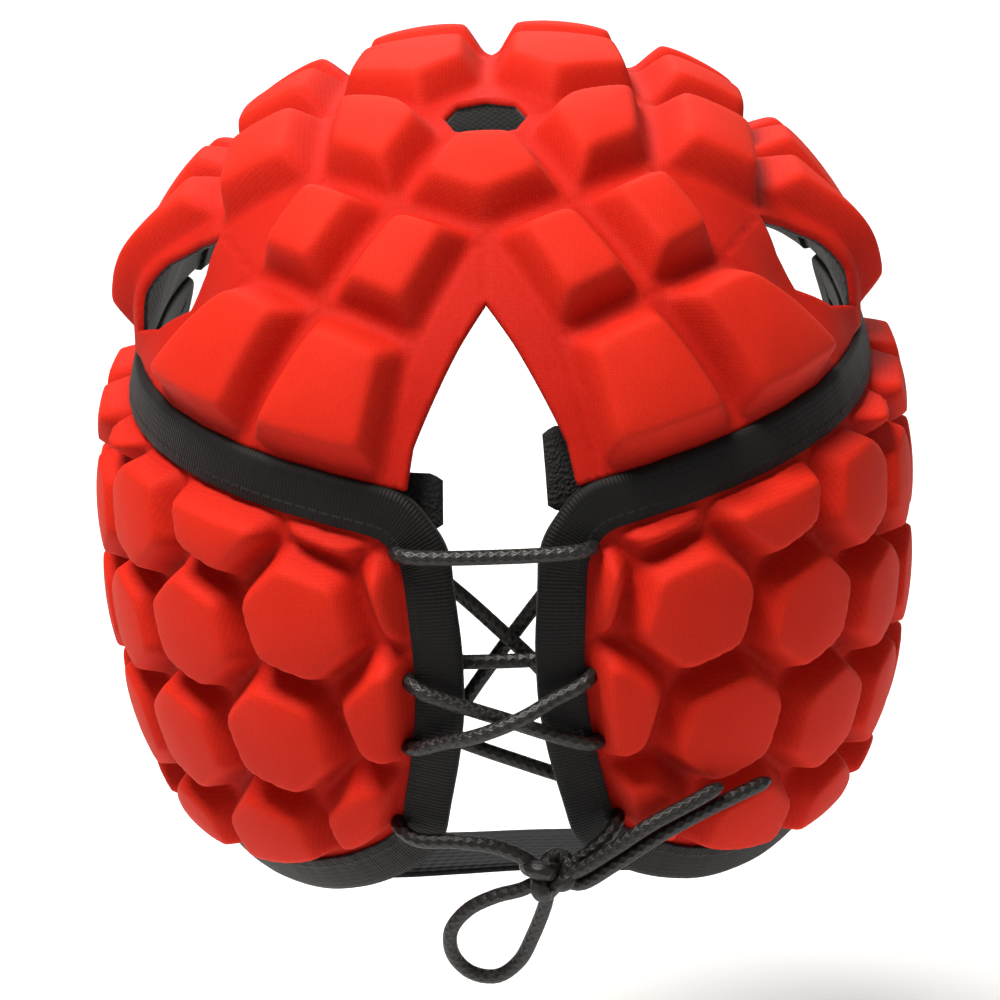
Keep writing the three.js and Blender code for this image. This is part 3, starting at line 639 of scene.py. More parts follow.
knot = {
    "centre": (8.8, -101, -148.2),
    "half": (6.2, 5, 5.6),
    "gap": 1.1,
    "inside": 0.4,
    "turns": (1.12, 2.05),  # size of the knot's turns in its bulk, and radius of its flattened cord
    "curveHalf": (2.76, 1.0, 3.0),  # half the size of the overhand curve before it is scaled
    "depthShare": 0.95,
    "exits": {
        "laceStart": (-0.9, -0.05, 0.75),
        "laceEnd": (0.9, 0.1, 0.42),
        "loopStart": (-0.8, 0.1, -0.55),
        "loopEnd": (-0.12, 0.05, -1),
        "upperEnd": (0.9, -0.5, 0.35),
        "lowerEnd": (1, -0.35, -0.2),
    },
}

freeCords = {
    "laceLoop": {
        "node": "lace_loop",
        "farEnd": "knot",
        "route": [
            (-3.4, -99.8, -154.2), (-9.8, -99, -158), (-13.9, -98.2, -164), (-13.6, -97.6, -170.6),
            (-9.6, -97.2, -175.6), (-4, -97.2, -176.6), (1, -97.8, -172.6), (4.4, -98.8, -165.6),
        ],
        "exits": ("loopStart", "loopEnd"),
    },
    "laceEndUpper": {
        "node": "lace_end_upper",
        "farEnd": "bare",
        "route": [
            (22.8, -104.6, -140.6), (31.8, -104, -134.6), (40.6, -101.2, -131.2), (47.6, -98.2, -128.6),
        ],
        "exits": ("upperEnd",),
    },
    "laceEndLower": {
        "node": "lace_end_lower",
        "farEnd": "bare",
        "route": [
            (23.6, -103.6, -144.6), (33.2, -102.2, -138.8), (42.8, -98.9, -135), (51.2, -95.2, -132.8),
            (58.4, -91.4, -131.4),
        ],
        "exits": ("lowerEnd",),
    },
}


def knotExit(name):
    direction = np.array(knot["exits"][name], float)
    direction /= np.linalg.norm(direction)
    reach = 1 / np.linalg.norm(direction / np.array(knot["half"]))
    return np.array(knot["centre"]) + direction * (reach + knot["gap"])


# Each cord starts within the knot, so that its turns close over it
def insideKnot(name):
    return np.array(knot["centre"]) + (knotExit(name) - np.array(knot["centre"])) * knot["inside"]


def throughHole(hole, outward):
    side, row = hole
    azimuth, elevation = lacing["holes"][row]
    heights = lacing["holeHeights"] if outward else lacing["holeHeights"][::-1]
    return [formPoint(side * azimuth, elevation, height) for height in heights]


def laceRoute():
    firstHole = lacing["strands"][0][0]
    points = [insideKnot("laceStart"), knotExit("laceStart"), *lacing["startRoute"]]
    points += throughHole(firstHole, False)
    for i, (start, end, lie) in enumerate(lacing["strands"]):
        a, b = [np.array(lacing["holes"][row]) * (side, 1) for side, row in (start, end)]
        for share, height in zip(lacing["shares"], lacing["heights"][lie]):
            azimuth, elevation = a + (b - a) * share
            points.append(formPoint(azimuth, elevation, height))
        points += throughHole(end, i % 2 == 0)
    return [*points, *lacing["endRoute"], knotExit("laceEnd"), insideKnot("laceEnd")]


def makeLacePieces():
    radius = lacing["diameter"] / 2
    path, stops = smoothPath(laceRoute(), lacing["step"])
    lace = tubeMesh("lacedCord", path, stops, radius, lacing["sides"], laceBraid)
    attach(lace, "root")
    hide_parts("lace")

    # overhand knot: a cord that passes three times round its own middle
    turn = np.linspace(0, 2 * math.pi, 97)[:-1]
    tightness, radius = knot["turns"]
    size = tightness * (np.array(knot["half"]) - radius) / np.array(knot["curveHalf"])
    path = np.stack([
        (np.sin(turn) + 2 * np.sin(2 * turn)) * size[0],
        -np.sin(3 * turn) * size[1] * knot["depthShare"],
        (np.cos(turn) - 2 * np.cos(2 * turn)) * size[2],
    ], 1) + np.array(knot["centre"])
    closed = np.vstack([path[-2:], path, path[:2]])
    first, second = framesAlong(closed)
    first, second = first[2:-2], second[2:-2]
    angles = np.linspace(0, 2 * math.pi, lacing["sides"], endpoint=False)
    rings = path[:, None] + radius * (
        first[:, None] * np.cos(angles)[None, :, None] + second[:, None] * np.sin(angles)[None, :, None]
    )
    lengths = lengthsAlong(np.vstack([path, path[:1]]))
    around = np.linspace(0, 1, lacing["sides"] + 1)
    knotPiece = sweptMesh("laceKnot", rings, lengths, around, laceBraid, isLoop=True)
    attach(knotPiece, "root")
    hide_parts("lace_knot")

    radius = lacing["diameter"] / 2
    for name, facts in freeCords.items():
        points = [insideKnot(facts["exits"][0]), knotExit(facts["exits"][0]), *facts["route"]]
        if len(facts["exits"]) > 1:
            points += [knotExit(facts["exits"][1]), insideKnot(facts["exits"][1])]
        path, stops = smoothPath(points, lacing["step"])
        piece = tubeMesh(name, path, stops, radius, lacing["sides"], laceBraid)
        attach(piece, "root")
        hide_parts(facts["node"])


makeLacePieces()
print("lace, knot, loop and ends made")


# Padded sheets

padding = {
    "sheet": 2.5,  # thickness in the channels
    "rise": 7.4,
    "crowning": 0.8,
    "slopes": {"crown": 4.3, "panel": 3.0},  # run of a pad's bevelled side
    "channels": {"crown": 1.7, "panel": 1.1},  # half a channel's floor
    "cornerRounding": 1.0,
    "bevelRounding": 0.1,
    "crease": 0.35,  # depth of the pressed line along the middle of a channel
    "quilting": 0.5,  # how far the lining swells behind a pad
    "step": 1.05,
    "liningStep": 4.0,
    "edgeRoom": (0.6, 2.5),  # share of a step kept clear inside an outline, and the widest such step
    "sameSide": 22,  # degrees that lines of one side may turn
    "crowningReach": 5,
    "creaseFade": 3,  # how far from an open edge the pressed line has run out
    "tapeReach": 32,
    "settle": 1.2,  # a pad is flat again this near its outline
    "roll": 0.55,  # how far a free edge rounds outward
}

binding = {
    "width": 9.4,
    "thickness": 0.7,
    "clearance": 0.55,
    "innerClearance": 0.4,
    "foldGap": 0.3,
    "toPad": 1.4,
    "step": 2.2,
    "pucker": 0.16,
    "puckerLength": 7,
    "pieceGap": 0.35,
    "foldRoundness": 0.45,
    "puckerDrift": 0.37,
    "innerSmoothing": 14,
}
tapedBand = binding["width"] + binding["toPad"]


def edgesOf(outline):
    return list(zip(outline, outline[1:] + outline[:1]))


def signedArea(points):
    x, y = np.asarray(points, float).T
    return 0.5 * float(np.sum(x * np.roll(y, -1) - np.roll(x, -1) * y))


def turnedLeft(points):
    return list(points) if signedArea(points) > 0 else list(points)[::-1]


def mirrored(points):
    return [(-x, y) for x, y in points]


def distanceLeft(points, a, b):
    a, b = np.asarray(a, float), np.asarray(b, float)
    run = (b - a) / np.linalg.norm(b - a)
    offset = np.asarray(points, float) - a
    return run[0] * offset[..., 1] - run[1] * offset[..., 0]


def clipped(points, a, b):
    kept = []
    for i, point in enumerate(points):
        following = points[(i + 1) % len(points)]
        here, there = distanceLeft(point, a, b), distanceLeft(following, a, b)
        if here >= 0:
            kept.append(tuple(point))
        if here * there < 0:
            share = here / (here - there)
            kept.append(tuple(np.asarray(point) + (np.asarray(following) - np.asarray(point)) * share))
    return kept


def roundedOutline(rows, stepsPerCorner):
    points = []
    for i, (x, y, radius) in enumerate(rows):
        if not radius:
            points.append((x, y))
            continue
        corner = np.array([x, y])
        before = np.array(rows[i - 1][:2]) - corner
        after = np.array(rows[(i + 1) % len(rows)][:2]) - corner
        radius = min(radius, 0.49 * np.linalg.norm(before), 0.49 * np.linalg.norm(after))
        start = corner + before / np.linalg.norm(before) * radius
        end = corner + after / np.linalg.norm(after) * radius
        for t in np.linspace(0, 1, stepsPerCorner + 1):
            points.append(tuple((1 - t) ** 2 * start + 2 * t * (1 - t) * corner + t * t * end))
    return points


def hullCorners(points):
    kept = list(range(len(points)))
    changed = True
    while changed:
        changed = False
        for k, index in enumerate(kept):
            before, after = points[kept[k - 1]], points[kept[(k + 1) % len(kept)]]
            if distanceLeft(points[index], before, after) > -0.01:
                kept.remove(index)
                changed = True
                break
    return kept


def edgeKey(point):
    return (round(point[0] * 1000), round(point[1] * 1000))


def insidePolygon(points, outline):
    x, y = points[:, 0], points[:, 1]
    inside = np.zeros(len(points), bool)
    for (ax, ay), (bx, by) in edgesOf(outline):
        crosses = (ay > y) != (by > y)
        if ay != by:
            inside ^= crosses & (x < (bx - ax) * (y - ay) / (by - ay) + ax)
    return inside


def distanceToEdges(points, edges):
    nearest = np.full(len(points), 1e9)
    for a, b in edges:
        a, b = np.asarray(a, float), np.asarray(b, float)
        run = b - a
        share = np.clip(((points - a) @ run) / max(run @ run, 1e-12), 0, 1)
        nearest = np.minimum(nearest, np.linalg.norm(points - a - share[:, None] * run, axis=1))
    return nearest


def distanceToOutline(points, outline):
    return distanceToEdges(points, edgesOf(outline))


def edgeStops(a, b, step):
    a, b = np.asarray(a, float), np.asarray(b, float)
    count = max(1, math.ceil(np.linalg.norm(b - a) / step - 1e-6))
    return [a + (b - a) * k / count for k in range(count)]


# Triangles that fill an outline, with inner points on a regular grid
def filledOutline(outline, edgeStep, innerStep):
    ring = [p for a, b in edgesOf(outline) for p in edgeStops(a, b, edgeStep)]
    low, high = np.min(outline, axis=0), np.max(outline, axis=0)
    rowStep = innerStep * math.sqrt(3) / 2
    rows = np.arange(math.floor(low[1] / rowStep), math.ceil(high[1] / rowStep) + 1)
    columns = np.arange(math.floor(low[0] / innerStep) - 1, math.ceil(high[0] / innerStep) + 1)
    grid = []
    for row in rows:
        across = (columns + 0.5 * (row % 2)) * innerStep
        grid.append(np.stack([across, np.full(len(columns), row * rowStep)], 1))
    grid = np.vstack(grid)
    grid = grid[insidePolygon(grid, outline)]
    if len(grid):
        share, widest = padding["edgeRoom"]
        grid = grid[distanceToOutline(grid, outline) > share * min(innerStep, widest)]
    flat = [Vector(p) for p in ring] + [Vector(p) for p in grid]
    found = delaunay_2d_cdt(flat, [], [list(range(len(ring)))], 1, 1e-6)
    points = np.array([tuple(v) for v in found[0]])
    faces = [f for f in found[2] if len(f) == 3]
    areas = [signedArea(points[list(f)]) for f in faces]
    faces = [tuple(f) if area > 0 else tuple(f[::-1]) for f, area in zip(faces, areas) if abs(area) > 1e-9]
    return points, faces


# How high a pad rises at flat points, and 0 to 1 for how far up its side each point is
def padHeights(points, outline, bandOfEdge, near, slope):
    corners = hullCorners(outline)
    lines = []
    for k, start in enumerate(corners):
        end = corners[(k + 1) % len(corners)]
        band, skipped, i = 0.0, 0.0, start
        while i != end:
            following = (i + 1) % len(outline)
            band = max(band, bandOfEdge(outline[i], outline[following]))
            if following != end:
                skipped = max(skipped, float(distanceLeft(outline[following], outline[start], outline[end])))
            i = following
        lines.append((outline[start], outline[end], band + skipped))
    lines += [(a, b, tapedBand) for a, b in near]
    # lines that turn by little are one side of the pad, and only real corners are rounded
    angles = [math.atan2(b[1] - a[1], b[0] - a[0]) for a, b, _ in lines]
    sides = []
    for angle, (a, b, offset) in zip(angles, lines):
        distance = distanceLeft(points, a, b) - offset
        for side in sides:
            if abs(math.remainder(angle - side[0], 2 * math.pi)) < math.radians(padding["sameSide"]):
                side[1] = np.minimum(side[1], distance)
                break
        else:
            sides.append([angle, distance])
    rounding = padding["cornerRounding"]
    stacked = np.stack([side[1] for side in sides])
    lowest = stacked.min(0)
    reach = lowest - rounding * np.log(np.exp(-(stacked - lowest) / rounding).sum(0))
    share = reach / slope
    soft = padding["bevelRounding"]
    fromFoot = share + np.sqrt(share ** 2 + soft ** 2)
    fromTop = share - 1 + np.sqrt((share - 1) ** 2 + soft ** 2)
    climb = 0.5 * fromFoot - 0.5 * fromTop
    past = np.maximum(reach - slope, 0)
    crown = padding["crowning"] * (1 - np.exp(-past / padding["crowningReach"]))
    return climb, padding["rise"] * climb + crown


# One closed sheet of tiles that share their edges. A tile is (has a pad, outline)
def paddedSheet(name, place, tiles, bandAt, tapedEdges, kind, lift=None):
    outlines = [turnedLeft(outline) for _, outline in tiles]
    known = {(edgeKey(a), edgeKey(b)) for outline in outlines for a, b in edgesOf(outline)}

    def isFree(a, b):
        return (edgeKey(b), edgeKey(a)) not in known

    def bandOfEdge(a, b):
        return bandAt(((a[0] + b[0]) / 2, (a[1] + b[1]) / 2)) if isFree(a, b) else padding["channels"][kind]

    freeEdges = [(a, b) for outline in outlines for a, b in edgesOf(outline) if isFree(a, b)]

    # the pressed line runs out before it reaches an open edge
    def creaseAt(points):
        away = distanceToEdges(points, freeEdges) / padding["creaseFade"]
        return -padding["crease"] * np.clip(away, 0, 1)

    flatPoints, heights, rises, faces, kinds = [], [], [], [], []
    shared = {}

    def add(point, height, rise, layer=None):
        key = None if layer is None else (layer, *edgeKey(point))
        if key in shared:
            return shared[key]
        flatPoints.append(tuple(point))
        heights.append(height)
        rises.append(rise)
        if key:
            shared[key] = len(flatPoints) - 1
        return len(flatPoints) - 1

    for (hasPad, _), outline in zip(tiles, outlines):
        middle = np.mean(outline, axis=0)
        near = [(a, b) for a, b in tapedEdges if math.dist(a, middle) < padding["tapeReach"]]
        for layer, innerStep in (("outer", padding["step"]), ("lining", padding["liningStep"])):
            points, triangles = filledOutline(outline, padding["step"], innerStep)
            climb, height = np.zeros(len(points)), np.zeros(len(points))
            if hasPad:
                climb, height = padHeights(points, outline, bandOfEdge, near, padding["slopes"][kind])
                inset = np.clip(distanceToOutline(points, outline) / padding["settle"], 0, 1)
                climb, height = climb * inset, height * inset
            if layer == "lining":
                height = -padding["sheet"] - padding["quilting"] * climb
            onEdge = distanceToOutline(points, outline) < 1e-4
            if layer == "outer":
                height[onEdge] = creaseAt(points[onEdge])
            else:
                height = np.where(onEdge, -padding["sheet"], height)
            rows = [
                add(p, h, c, layer if edge else None)
                for p, h, c, edge in zip(points, height, climb, onEdge)
            ]
            for a, b, c in triangles:
                faces.append((rows[a], rows[b], rows[c]) if layer == "outer" else (rows[a], rows[c], rows[b]))
                kinds.append(0 if layer == "outer" else 1)
        # a rolled edge joins the two layers where no tile lies beside this one
        for a, b in edgesOf(outline):
            if not isFree(a, b):
                continue
            out = np.array([b[1] - a[1], a[0] - b[0]], float)
            out *= padding["roll"] / np.linalg.norm(out)
            stops = [*edgeStops(a, b, padding["step"]), np.asarray(b, float)]
            for start, end in zip(stops, stops[1:]):
                top = [add(start, 0, 0, "outer"), add(end, 0, 0, "outer")]
                roll = []
                for stop in (start, end):
                    rollKey = ("roll", *edgeKey(stop))
                    if rollKey not in shared:
                        shared[rollKey] = add(stop + out, -padding["sheet"] / 2, 0)
                    roll.append(shared[rollKey])
                low = [add(start, -padding["sheet"], 0, "lining"), add(end, -padding["sheet"], 0, "lining")]
                faces.append((top[0], roll[0], roll[1], top[1]))
                faces.append((roll[0], low[0], low[1], roll[1]))
                kinds += [0, 1]

    flat = np.array(flatPoints)
    placed = place(flat, np.array(heights) + (lift(flat) if lift else 0))
    faceUv = [flatPoints[i] for face in faces for i in face]
    return finishMesh(name, placed, faces, faceUv, kinds, [redKnit, lining], rises)


# Crown

crownRim = [  # azimuth from the rear, arc from the top
    (11.4, 119), (25, 116), (45, 113.2), (60, 112), (80, 111.5), (92, 112),
    (107, 113), (125, 115), (140, 118), (166, 122), (180, 122.5),
]
browStart = 119.5


def rimArc(azimuth):
    return float(np.interp(azimuth, [row[0] for row in crownRim], [row[1] for row in crownRim]))


def rimPoint(azimuth):
    arc, angle = rimArc(azimuth), math.radians(azimuth)
    return (arc * math.sin(angle), arc * math.cos(angle))


def rimRun(start, end, step=8):
    count = max(1, round(abs(end - start) / step))
    return [rimPoint(start + (end - start) * k / count) for k in range(count + 1)]


# Shared corners of the right half: mm to the right and to the rear of the top
crownAt = {
    "ventFront": (0, 9.5), "ventFrontSide": (7, 12), "ventSide": (10, 19.5), "ventRearSide": (7, 27),
    "ventRear": (0, 29.5), "arcInner": (20, 52), "arcMiddle": (0, 62), "arcOuter": (38.5, 35.3),
    "gapTop": (0, 78), "flapInner": (17, 86.5), "flapMiddle": (38.5, 72.5), "flapOuter": (56, 55),
    "slitTop": (66.6, 31.1), "slitFoot": (103, 24),
    "slitRearTop": (73.4, 38.4), "slitRear": (82, 42), "slitRearFoot": (94.6, 35.2),
    "slitFrontTop": (74.8, 25.1), "slitFront": (84.5, 21.5), "slitFrontFoot": (94.2, 21.2),
    "topMiddle": (37, 1), "topOuter": (65, -5),
    "frontA0": (0, -26), "frontA1": (33, -28), "frontA2": (64, -34),
    "frontB0": (0, -61), "frontB1": (33, -61), "frontB2": (61, -62),
    "frontC0": (0, -94), "frontC1": (30, -92), "frontC2": (56, -84),
}
gapEdge = [(20.4, 108), (14.4, 99), (7, 87.7)]
# bare strip beside a vent and beside the rear rim, and how near an edge counts as rim or as taped
crownStrip = {"vent": 4, "rear": 2.2, "rimNear": 4, "tapeLead": 8}


def crownTiles():
    def corners(names):
        return [crownAt[name] for name in names.split()]

    half = [
        (True, corners("ventFront ventFrontSide ventSide topMiddle frontA1 frontA0")),
        (True, corners("ventRearSide ventSide topMiddle arcOuter arcInner")),
        (True, corners("topMiddle topOuter slitTop arcOuter")),
        (True, corners("arcMiddle arcInner flapMiddle flapInner")),
        (True, corners("arcInner arcOuter flapOuter flapMiddle")),
        (False, corners("arcOuter slitTop flapOuter")),
        (True, corners("flapInner flapMiddle") + rimRun(35.5, 14.3)),
        (True, corners("flapMiddle flapOuter") + rimRun(62, 35.5)),
        (False, corners("flapOuter slitTop slitRearTop slitRear slitRearFoot slitFoot") + rimRun(79, 62)),
        (False, corners("arcMiddle flapInner") + rimRun(14.3, 11.4) + gapEdge + corners("gapTop")),
        (True, corners("topMiddle frontA1 frontA2 topOuter")),
        (True, corners("topOuter slitTop slitFrontTop slitFront slitFrontFoot slitFoot") + rimRun(79, 92)),
        (True, corners("topOuter") + rimRun(92, 107) + corners("frontA2")),
        (True, corners("frontA0 frontA1 frontB1 frontB0")),
        (True, corners("frontA1 frontA2 frontB2 frontB1")),
        (True, corners("frontA2") + rimRun(107, browStart) + [rimPoint(125)] + corners("frontB2")),
        (True, corners("frontB0 frontB1 frontC1 frontC0")),
        (True, corners("frontB1 frontB2 frontC2 frontC1")),
        (True, corners("frontB2") + rimRun(125, 150) + corners("frontC2")),
        (True, corners("frontC0 frontC1") + rimRun(166, 180)),
        (True, corners("frontC1 frontC2") + rimRun(150, 166)),
    ]
    middle = corners("ventRear ventRearSide arcInner arcMiddle")
    middle += mirrored(corners("arcInner ventRearSide"))
    return [(True, middle), *half, *[(hasPad, mirrored(outline)) for hasPad, outline in half]]


def crownBand(point):
    azimuth, arc = math.degrees(abs(math.atan2(*point))), math.hypot(*point)
    if arc < rimArc(azimuth) - crownStrip["rimNear"]:
        return crownStrip["vent"]
    return tapedBand if azimuth > browStart - crownStrip["tapeLead"] else crownStrip["rear"]


# Places where the shell stands off the head or sinks toward it: middle, height, reach, reach to the rear
slitLifts = [((93, 18), 6.0, 15, 9), ((80, 46), -3.0, 12, 12)]


def crownLift(flat):
    total = np.zeros(len(flat))
    for (x, y), height, reach, rearReach in slitLifts:
        across = (np.abs(flat[:, 0]) - x) / reach
        back = (flat[:, 1] - y) / np.where(flat[:, 1] > y, rearReach, reach)
        total += height * np.exp(-across ** 2 - back ** 2)
    return total


crown = paddedSheet("crownShell", placeOnCrown, crownTiles(), crownBand, [], "crown", crownLift)
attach(crown, "root")
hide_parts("crown")
print("crown made,", len(crown.data.polygons), "faces")


# Side panels

panelEdge = {  # azimuth, elevation, corner radius
    "lacing": [
        (9.4, -25.6, 4), (8.2, -20.4, 5), (6.5, -13.3, 6), (5.4, -5.8, 5), (5.3, 2.7, 5),
        (5.9, 9.5, 5), (6.4, 16.2, 5),
    ],
    "top": (11.6, 18, 25, 32, 39, 46, 53, 60, 67, 74, 81, 88, 95, 102, 109, 118),
    "face": [(112, 3, 12), (105, -16, 12)],
    "lower": [
        (97, -32.5, 14), (82, -39.5, 8), (60, -41, 8), (45, -40.5, 8), (30, -38, 8), (20, -34, 7),
        (13, -29.6, 4),
    ],
    "nearRadius": 7,
    "farRadius": 13,
    "cornerSteps": 6,
}
hexes = {
    "pitch": 30.5, "tilt": -17, "start": (43.6, 10.9), "rows": (-5, 7), "columns": (-6, 11),
    "smallest": 0.01, "ear": (4, 0), "earStrip": 3,
}


def panelOutline():
    scale = form["mapRadius"]

    def row(azimuth, elevation, radius):
        return (math.radians(azimuth) * scale, math.radians(elevation) * scale, radius)

    rows = [row(*r) for r in panelEdge["lacing"]]
    clearance = binding["pieceGap"] + binding["foldGap"] + binding["thickness"]
    for i, azimuth in enumerate(panelEdge["top"]):
        radius = {0: panelEdge["nearRadius"], len(panelEdge["top"]) - 1: panelEdge["farRadius"]}.get(i, 0)
        elevation = math.pi / 2 - (rimArc(azimuth) + clearance) / scale
        rows.append((math.radians(azimuth) * scale, elevation * scale, radius))
    rows += [row(*r) for r in panelEdge["face"] + panelEdge["lower"]]
    return turnedLeft(roundedOutline(rows, panelEdge["cornerSteps"]))


def hexagon(column, row):
    tilt = math.radians(hexes["tilt"])
    down = tilt - math.pi / 3
    middle = np.array(hexes["start"]) + hexes["pitch"] * (
        column * np.array([math.cos(tilt), math.sin(tilt)]) + row * np.array([math.cos(down), math.sin(down)])
    )
    reach = hexes["pitch"] / math.sqrt(3)
    angles = [tilt + math.pi / 6 + k * math.pi / 3 for k in range(6)]
    return [tuple(middle + reach * np.array([math.cos(a), math.sin(a)])) for a in angles]


def panelTiles(outline):
    tiles = []
    for row in range(*hexes["rows"]):
        for column in range(*hexes["columns"]):
            if (column, row) == hexes["ear"]:
                continue
            corners = hexagon(column, row)
            piece = outline
            for a, b in edgesOf(corners):
                piece = clipped(piece, a, b) if len(piece) > 2 else piece
            if len(piece) > 2 and abs(signedArea(piece)) > hexes["smallest"]:
                tiles.append((True, piece))
    return tiles


earMiddle = np.mean(hexagon(*hexes["ear"]), axis=0)


def panelBand(point):
    fromEar = math.dist((abs(point[0]), point[1]), earMiddle)
    return hexes["earStrip"] if fromEar < hexes["pitch"] / math.sqrt(2) else tapedBand


rightEdge = panelOutline()
panelEdges = {"Left": turnedLeft(mirrored(rightEdge)), "Right": rightEdge}
for word, edge in panelEdges.items():
    tiles = panelTiles(rightEdge)
    if word == "Left":
        tiles = [(hasPad, mirrored(outline)) for hasPad, outline in tiles]
    panel = paddedSheet("sidePanel" + word, placeOnSide, tiles, panelBand, edgesOf(edge), "panel")
    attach(panel, "root")
    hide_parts("side_panel_" + word.lower())
    print("side panel made,", len(panel.data.polygons), "faces")


# Binding tape

# A tape's cross section: depth in from the edge, height, and place across for the weave
def tapeProfile():
    low = -padding["sheet"] - binding["innerClearance"] - binding["thickness"]
    high = binding["clearance"] + binding["thickness"]
    middle, outer = (low + high) / 2, (high - low) / 2
    inner = outer - binding["thickness"]
    width = binding["width"]
    rows = [(width, high - 0.15, width)]
    rows += [(depth, high, depth) for depth in np.linspace(width - 0.35, 0.6, 6)]
    for angle in np.linspace(0, math.pi, 7)[1:-1]:
        depth = -binding["foldGap"] - binding["foldRoundness"] * outer * math.sin(angle)
        rows.append((depth, middle + outer * math.cos(angle), 0))
    rows += [(depth, low, -depth) for depth in np.linspace(0.6, width - 0.35, 6)]
    rows.append((width, low + 0.15, -width))
    rows.append((width, low + binding["thickness"], -width - 0.7))
    rows += [(depth, middle - inner, -depth) for depth in (width * 0.6, 0.4)]
    rows += [(depth, middle + inner, depth) for depth in (0.4, width * 0.6)]
    rows.append((width, high - binding["thickness"], width + 0.7))
    return rows


def tapeAlong(name, place, edge, isLoop, inwardOf=None):
    spans = edgesOf(edge) if isLoop else list(zip(edge, edge[1:]))
    stops = [p for a, b in spans for p in edgeStops(a, b, binding["step"])]
    if not isLoop:
        stops.append(np.asarray(edge[-1], float))
    edge = np.array(stops)
    if isLoop:
        run = np.roll(edge, -1, axis=0) - np.roll(edge, 1, axis=0)
    else:
        run = np.gradient(edge, axis=0)
    run /= np.linalg.norm(run, axis=1, keepdims=True)
    inward = np.stack([-run[:, 1], run[:, 0]], 1)
    if inwardOf is not None:
        inward = np.array([inwardOf(p) for p in edge])
    inner = edge + inward * binding["width"]
    if isLoop:  # at tight corners the tape's inner border takes a smoother way round
        for _ in range(binding["innerSmoothing"]):
            inner = 0.5 * inner + 0.25 * (np.roll(inner, 1, axis=0) + np.roll(inner, -1, axis=0))
    along = lengthsAlong(np.vstack([edge, edge[:1]]))
    drift = np.sin(along[:-1] * binding["puckerDrift"] + 1)
    wave = np.sin(along[:-1] * 2 * math.pi / binding["puckerLength"]) * drift
    profile = tapeProfile()
    depths = np.array([row[0] for row in profile])
    heights = np.array([row[1] for row in profile])
    share = depths / binding["width"]
    rings = []
    for i in range(len(edge)):
        flat = edge[i] + (inner[i] - edge[i]) * share[:, None]
        lift = np.where(depths > 1, wave[i] * binding["pucker"] * np.clip(share, 0, 1), 0)
        rings.append(place(flat, heights + lift))
    around = [row[2] for row in profile] + [profile[0][2]]
    return sweptMesh(name, rings, along, around, tapeCloth, isLoop)


for word, edge in panelEdges.items():
    tape = tapeAlong("sideBinding" + word, placeOnSide, edge, True)
    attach(tape, "root")
    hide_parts("side_binding_" + word.lower())

browEdge = [rimPoint(browStart), *rimRun(125, 150), *rimRun(150, 166)[1:], *rimRun(166, 180)[1:]]
browEdge += mirrored(browEdge)[::-1][1:]
brow = tapeAlong(
    "browBinding", placeOnCrown, browEdge, False,
    inwardOf=lambda p: -np.asarray(p) / np.linalg.norm(p),
)
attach(brow, "root")
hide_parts("brow_binding")
print("binding tapes made")


# Rear tabs and chin strap

tabs = {
    "thickness": 1.4,
    "height": -5.85,  # its outer face, under the tape's inner leg
    "pinch": {0: 0.9, 1: 0.35},  # degrees off each side at the last rows, for rounded corners
    "thinEnd": 0.35,
    "curl": 0.105,
    "mapRadius": 95,
    "rows": (15, 9),
    "Left": {"azimuths": (-6.8, -20), "elevations": (17.5, 25)},
    "Right": {"azimuths": (7.4, 20), "elevations": (19.5, 30.5)},
}


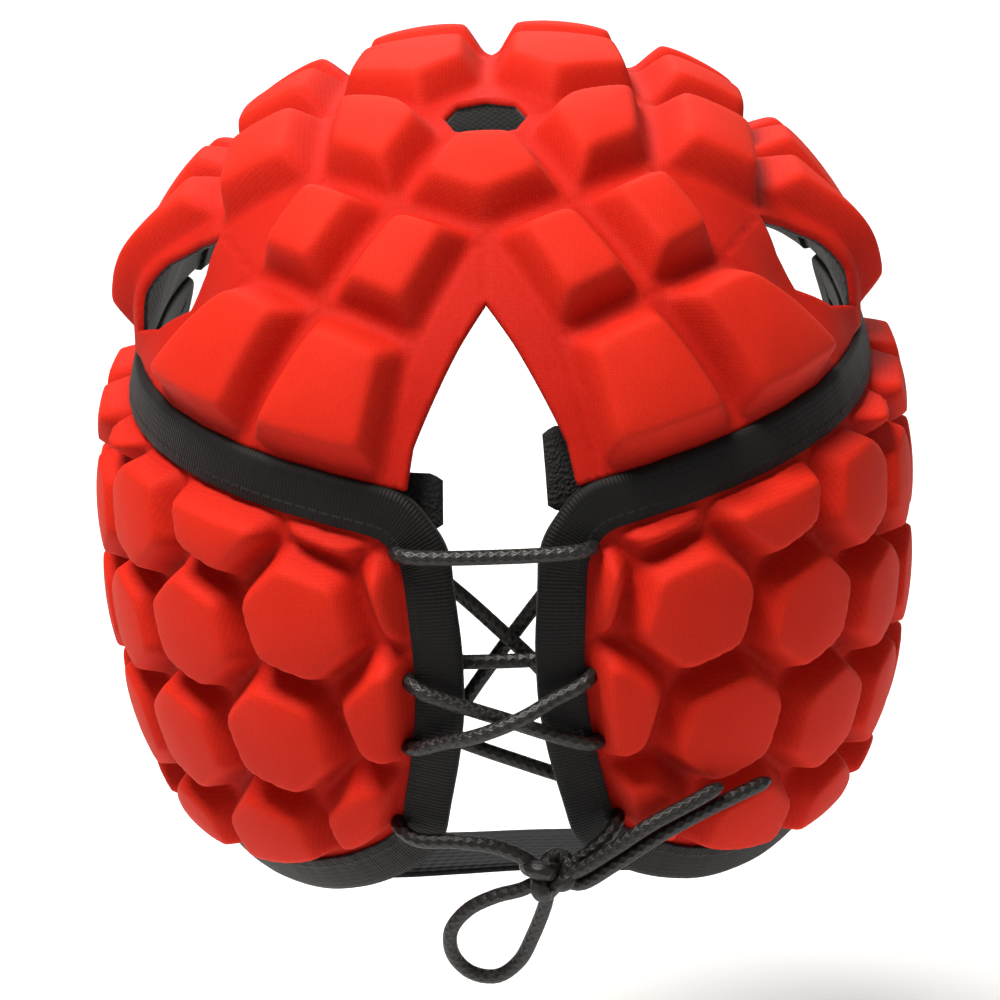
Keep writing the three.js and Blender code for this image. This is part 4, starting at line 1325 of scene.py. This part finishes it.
def makeTab(word):
    facts = tabs[word]
    low, high = facts["elevations"]
    azimuths = np.linspace(*facts["azimuths"], tabs["rows"][0])
    across = np.linspace(low, high, tabs["rows"][1])
    rings, along = [], []
    for i, azimuth in enumerate(azimuths):
        end = min(i, len(azimuths) - 1 - i)
        pinch = tabs["pinch"].get(end, 0.0)
        elevations = np.radians(np.clip(across, low + pinch, high - pinch))
        thin = tabs["thinEnd"] if end == 0 else 0.0
        curl = tabs["curl"] * math.sin(i * 0.9 + 0.4)
        turn = math.radians(azimuth)
        top = formPoints(turn, elevations, tabs["height"] - thin + curl)
        bottom = formPoints(turn, elevations[::-1], tabs["height"] - tabs["thickness"] + thin + curl)
        rings.append(np.vstack([top, bottom]))
        along.append(turn * tabs["mapRadius"])
    spread = list(np.radians(across) * tabs["mapRadius"])
    around = spread + spread[::-1] + spread[:1]
    piece = sweptMesh("rearTab" + word, rings, along, around, hookTape)
    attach(piece, "root")
    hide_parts("rear_tab_" + word.lower())


for word in ("Left", "Right"):
    makeTab(word)

strap = {
    "width": 20,
    "thickness": 1.6,
    "anchor": (88, (-27, -32, -37), -7.3),  # azimuth, elevations and height inside the side panel
    "route": [
        (69.6, 0.6, -165.5), (67.2, 4, -178), (65.4, 8.5, -190), (61.2, 15, -202),
        (52, 24, -212.5), (37.5, 34, -220.5), (19, 42, -225.4),
    ],
    "lowest": (0, 45, -226.8),
    "step": 2.5,
}


def makeStrap():
    azimuth, elevations, height = strap["anchor"]
    half = [formPoint(azimuth, e, height) for e in elevations] + [np.array(p, float) for p in strap["route"]]
    other = [p * np.array([-1, 1, 1]) for p in half][::-1]
    path, stops = smoothPath([*half, np.array(strap["lowest"], float), *other], strap["step"])
    tangents = np.gradient(path, axis=0)
    tangents /= np.linalg.norm(tangents, axis=1, keepdims=True)
    across = np.array([0, 1, 0]) - tangents * tangents[:, 1:2]
    across /= np.linalg.norm(across, axis=1, keepdims=True)
    thick = np.cross(tangents, across)
    w, t = strap["width"] / 2, strap["thickness"] / 2
    faceRow = np.linspace(-w + 0.5, w - 0.5, 7)
    section = [(x, t) for x in faceRow] + [(w, t * 0.4), (w, -t * 0.4)]
    section += [(x, -t) for x in faceRow[::-1]] + [(-w, -t * 0.4), (-w, t * 0.4)]
    rings = [
        [middle + a * x + b * y for x, y in section]
        for middle, a, b in zip(path, across, thick)
    ]
    around = [x for x, _ in section] + [section[0][0]]
    piece = sweptMesh("chinStrap", rings, stops, around, webbing)
    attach(piece, "root")
    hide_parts("chin_strap")


makeStrap()
print("tabs and chin strap made")

bpy.context.view_layer.update()
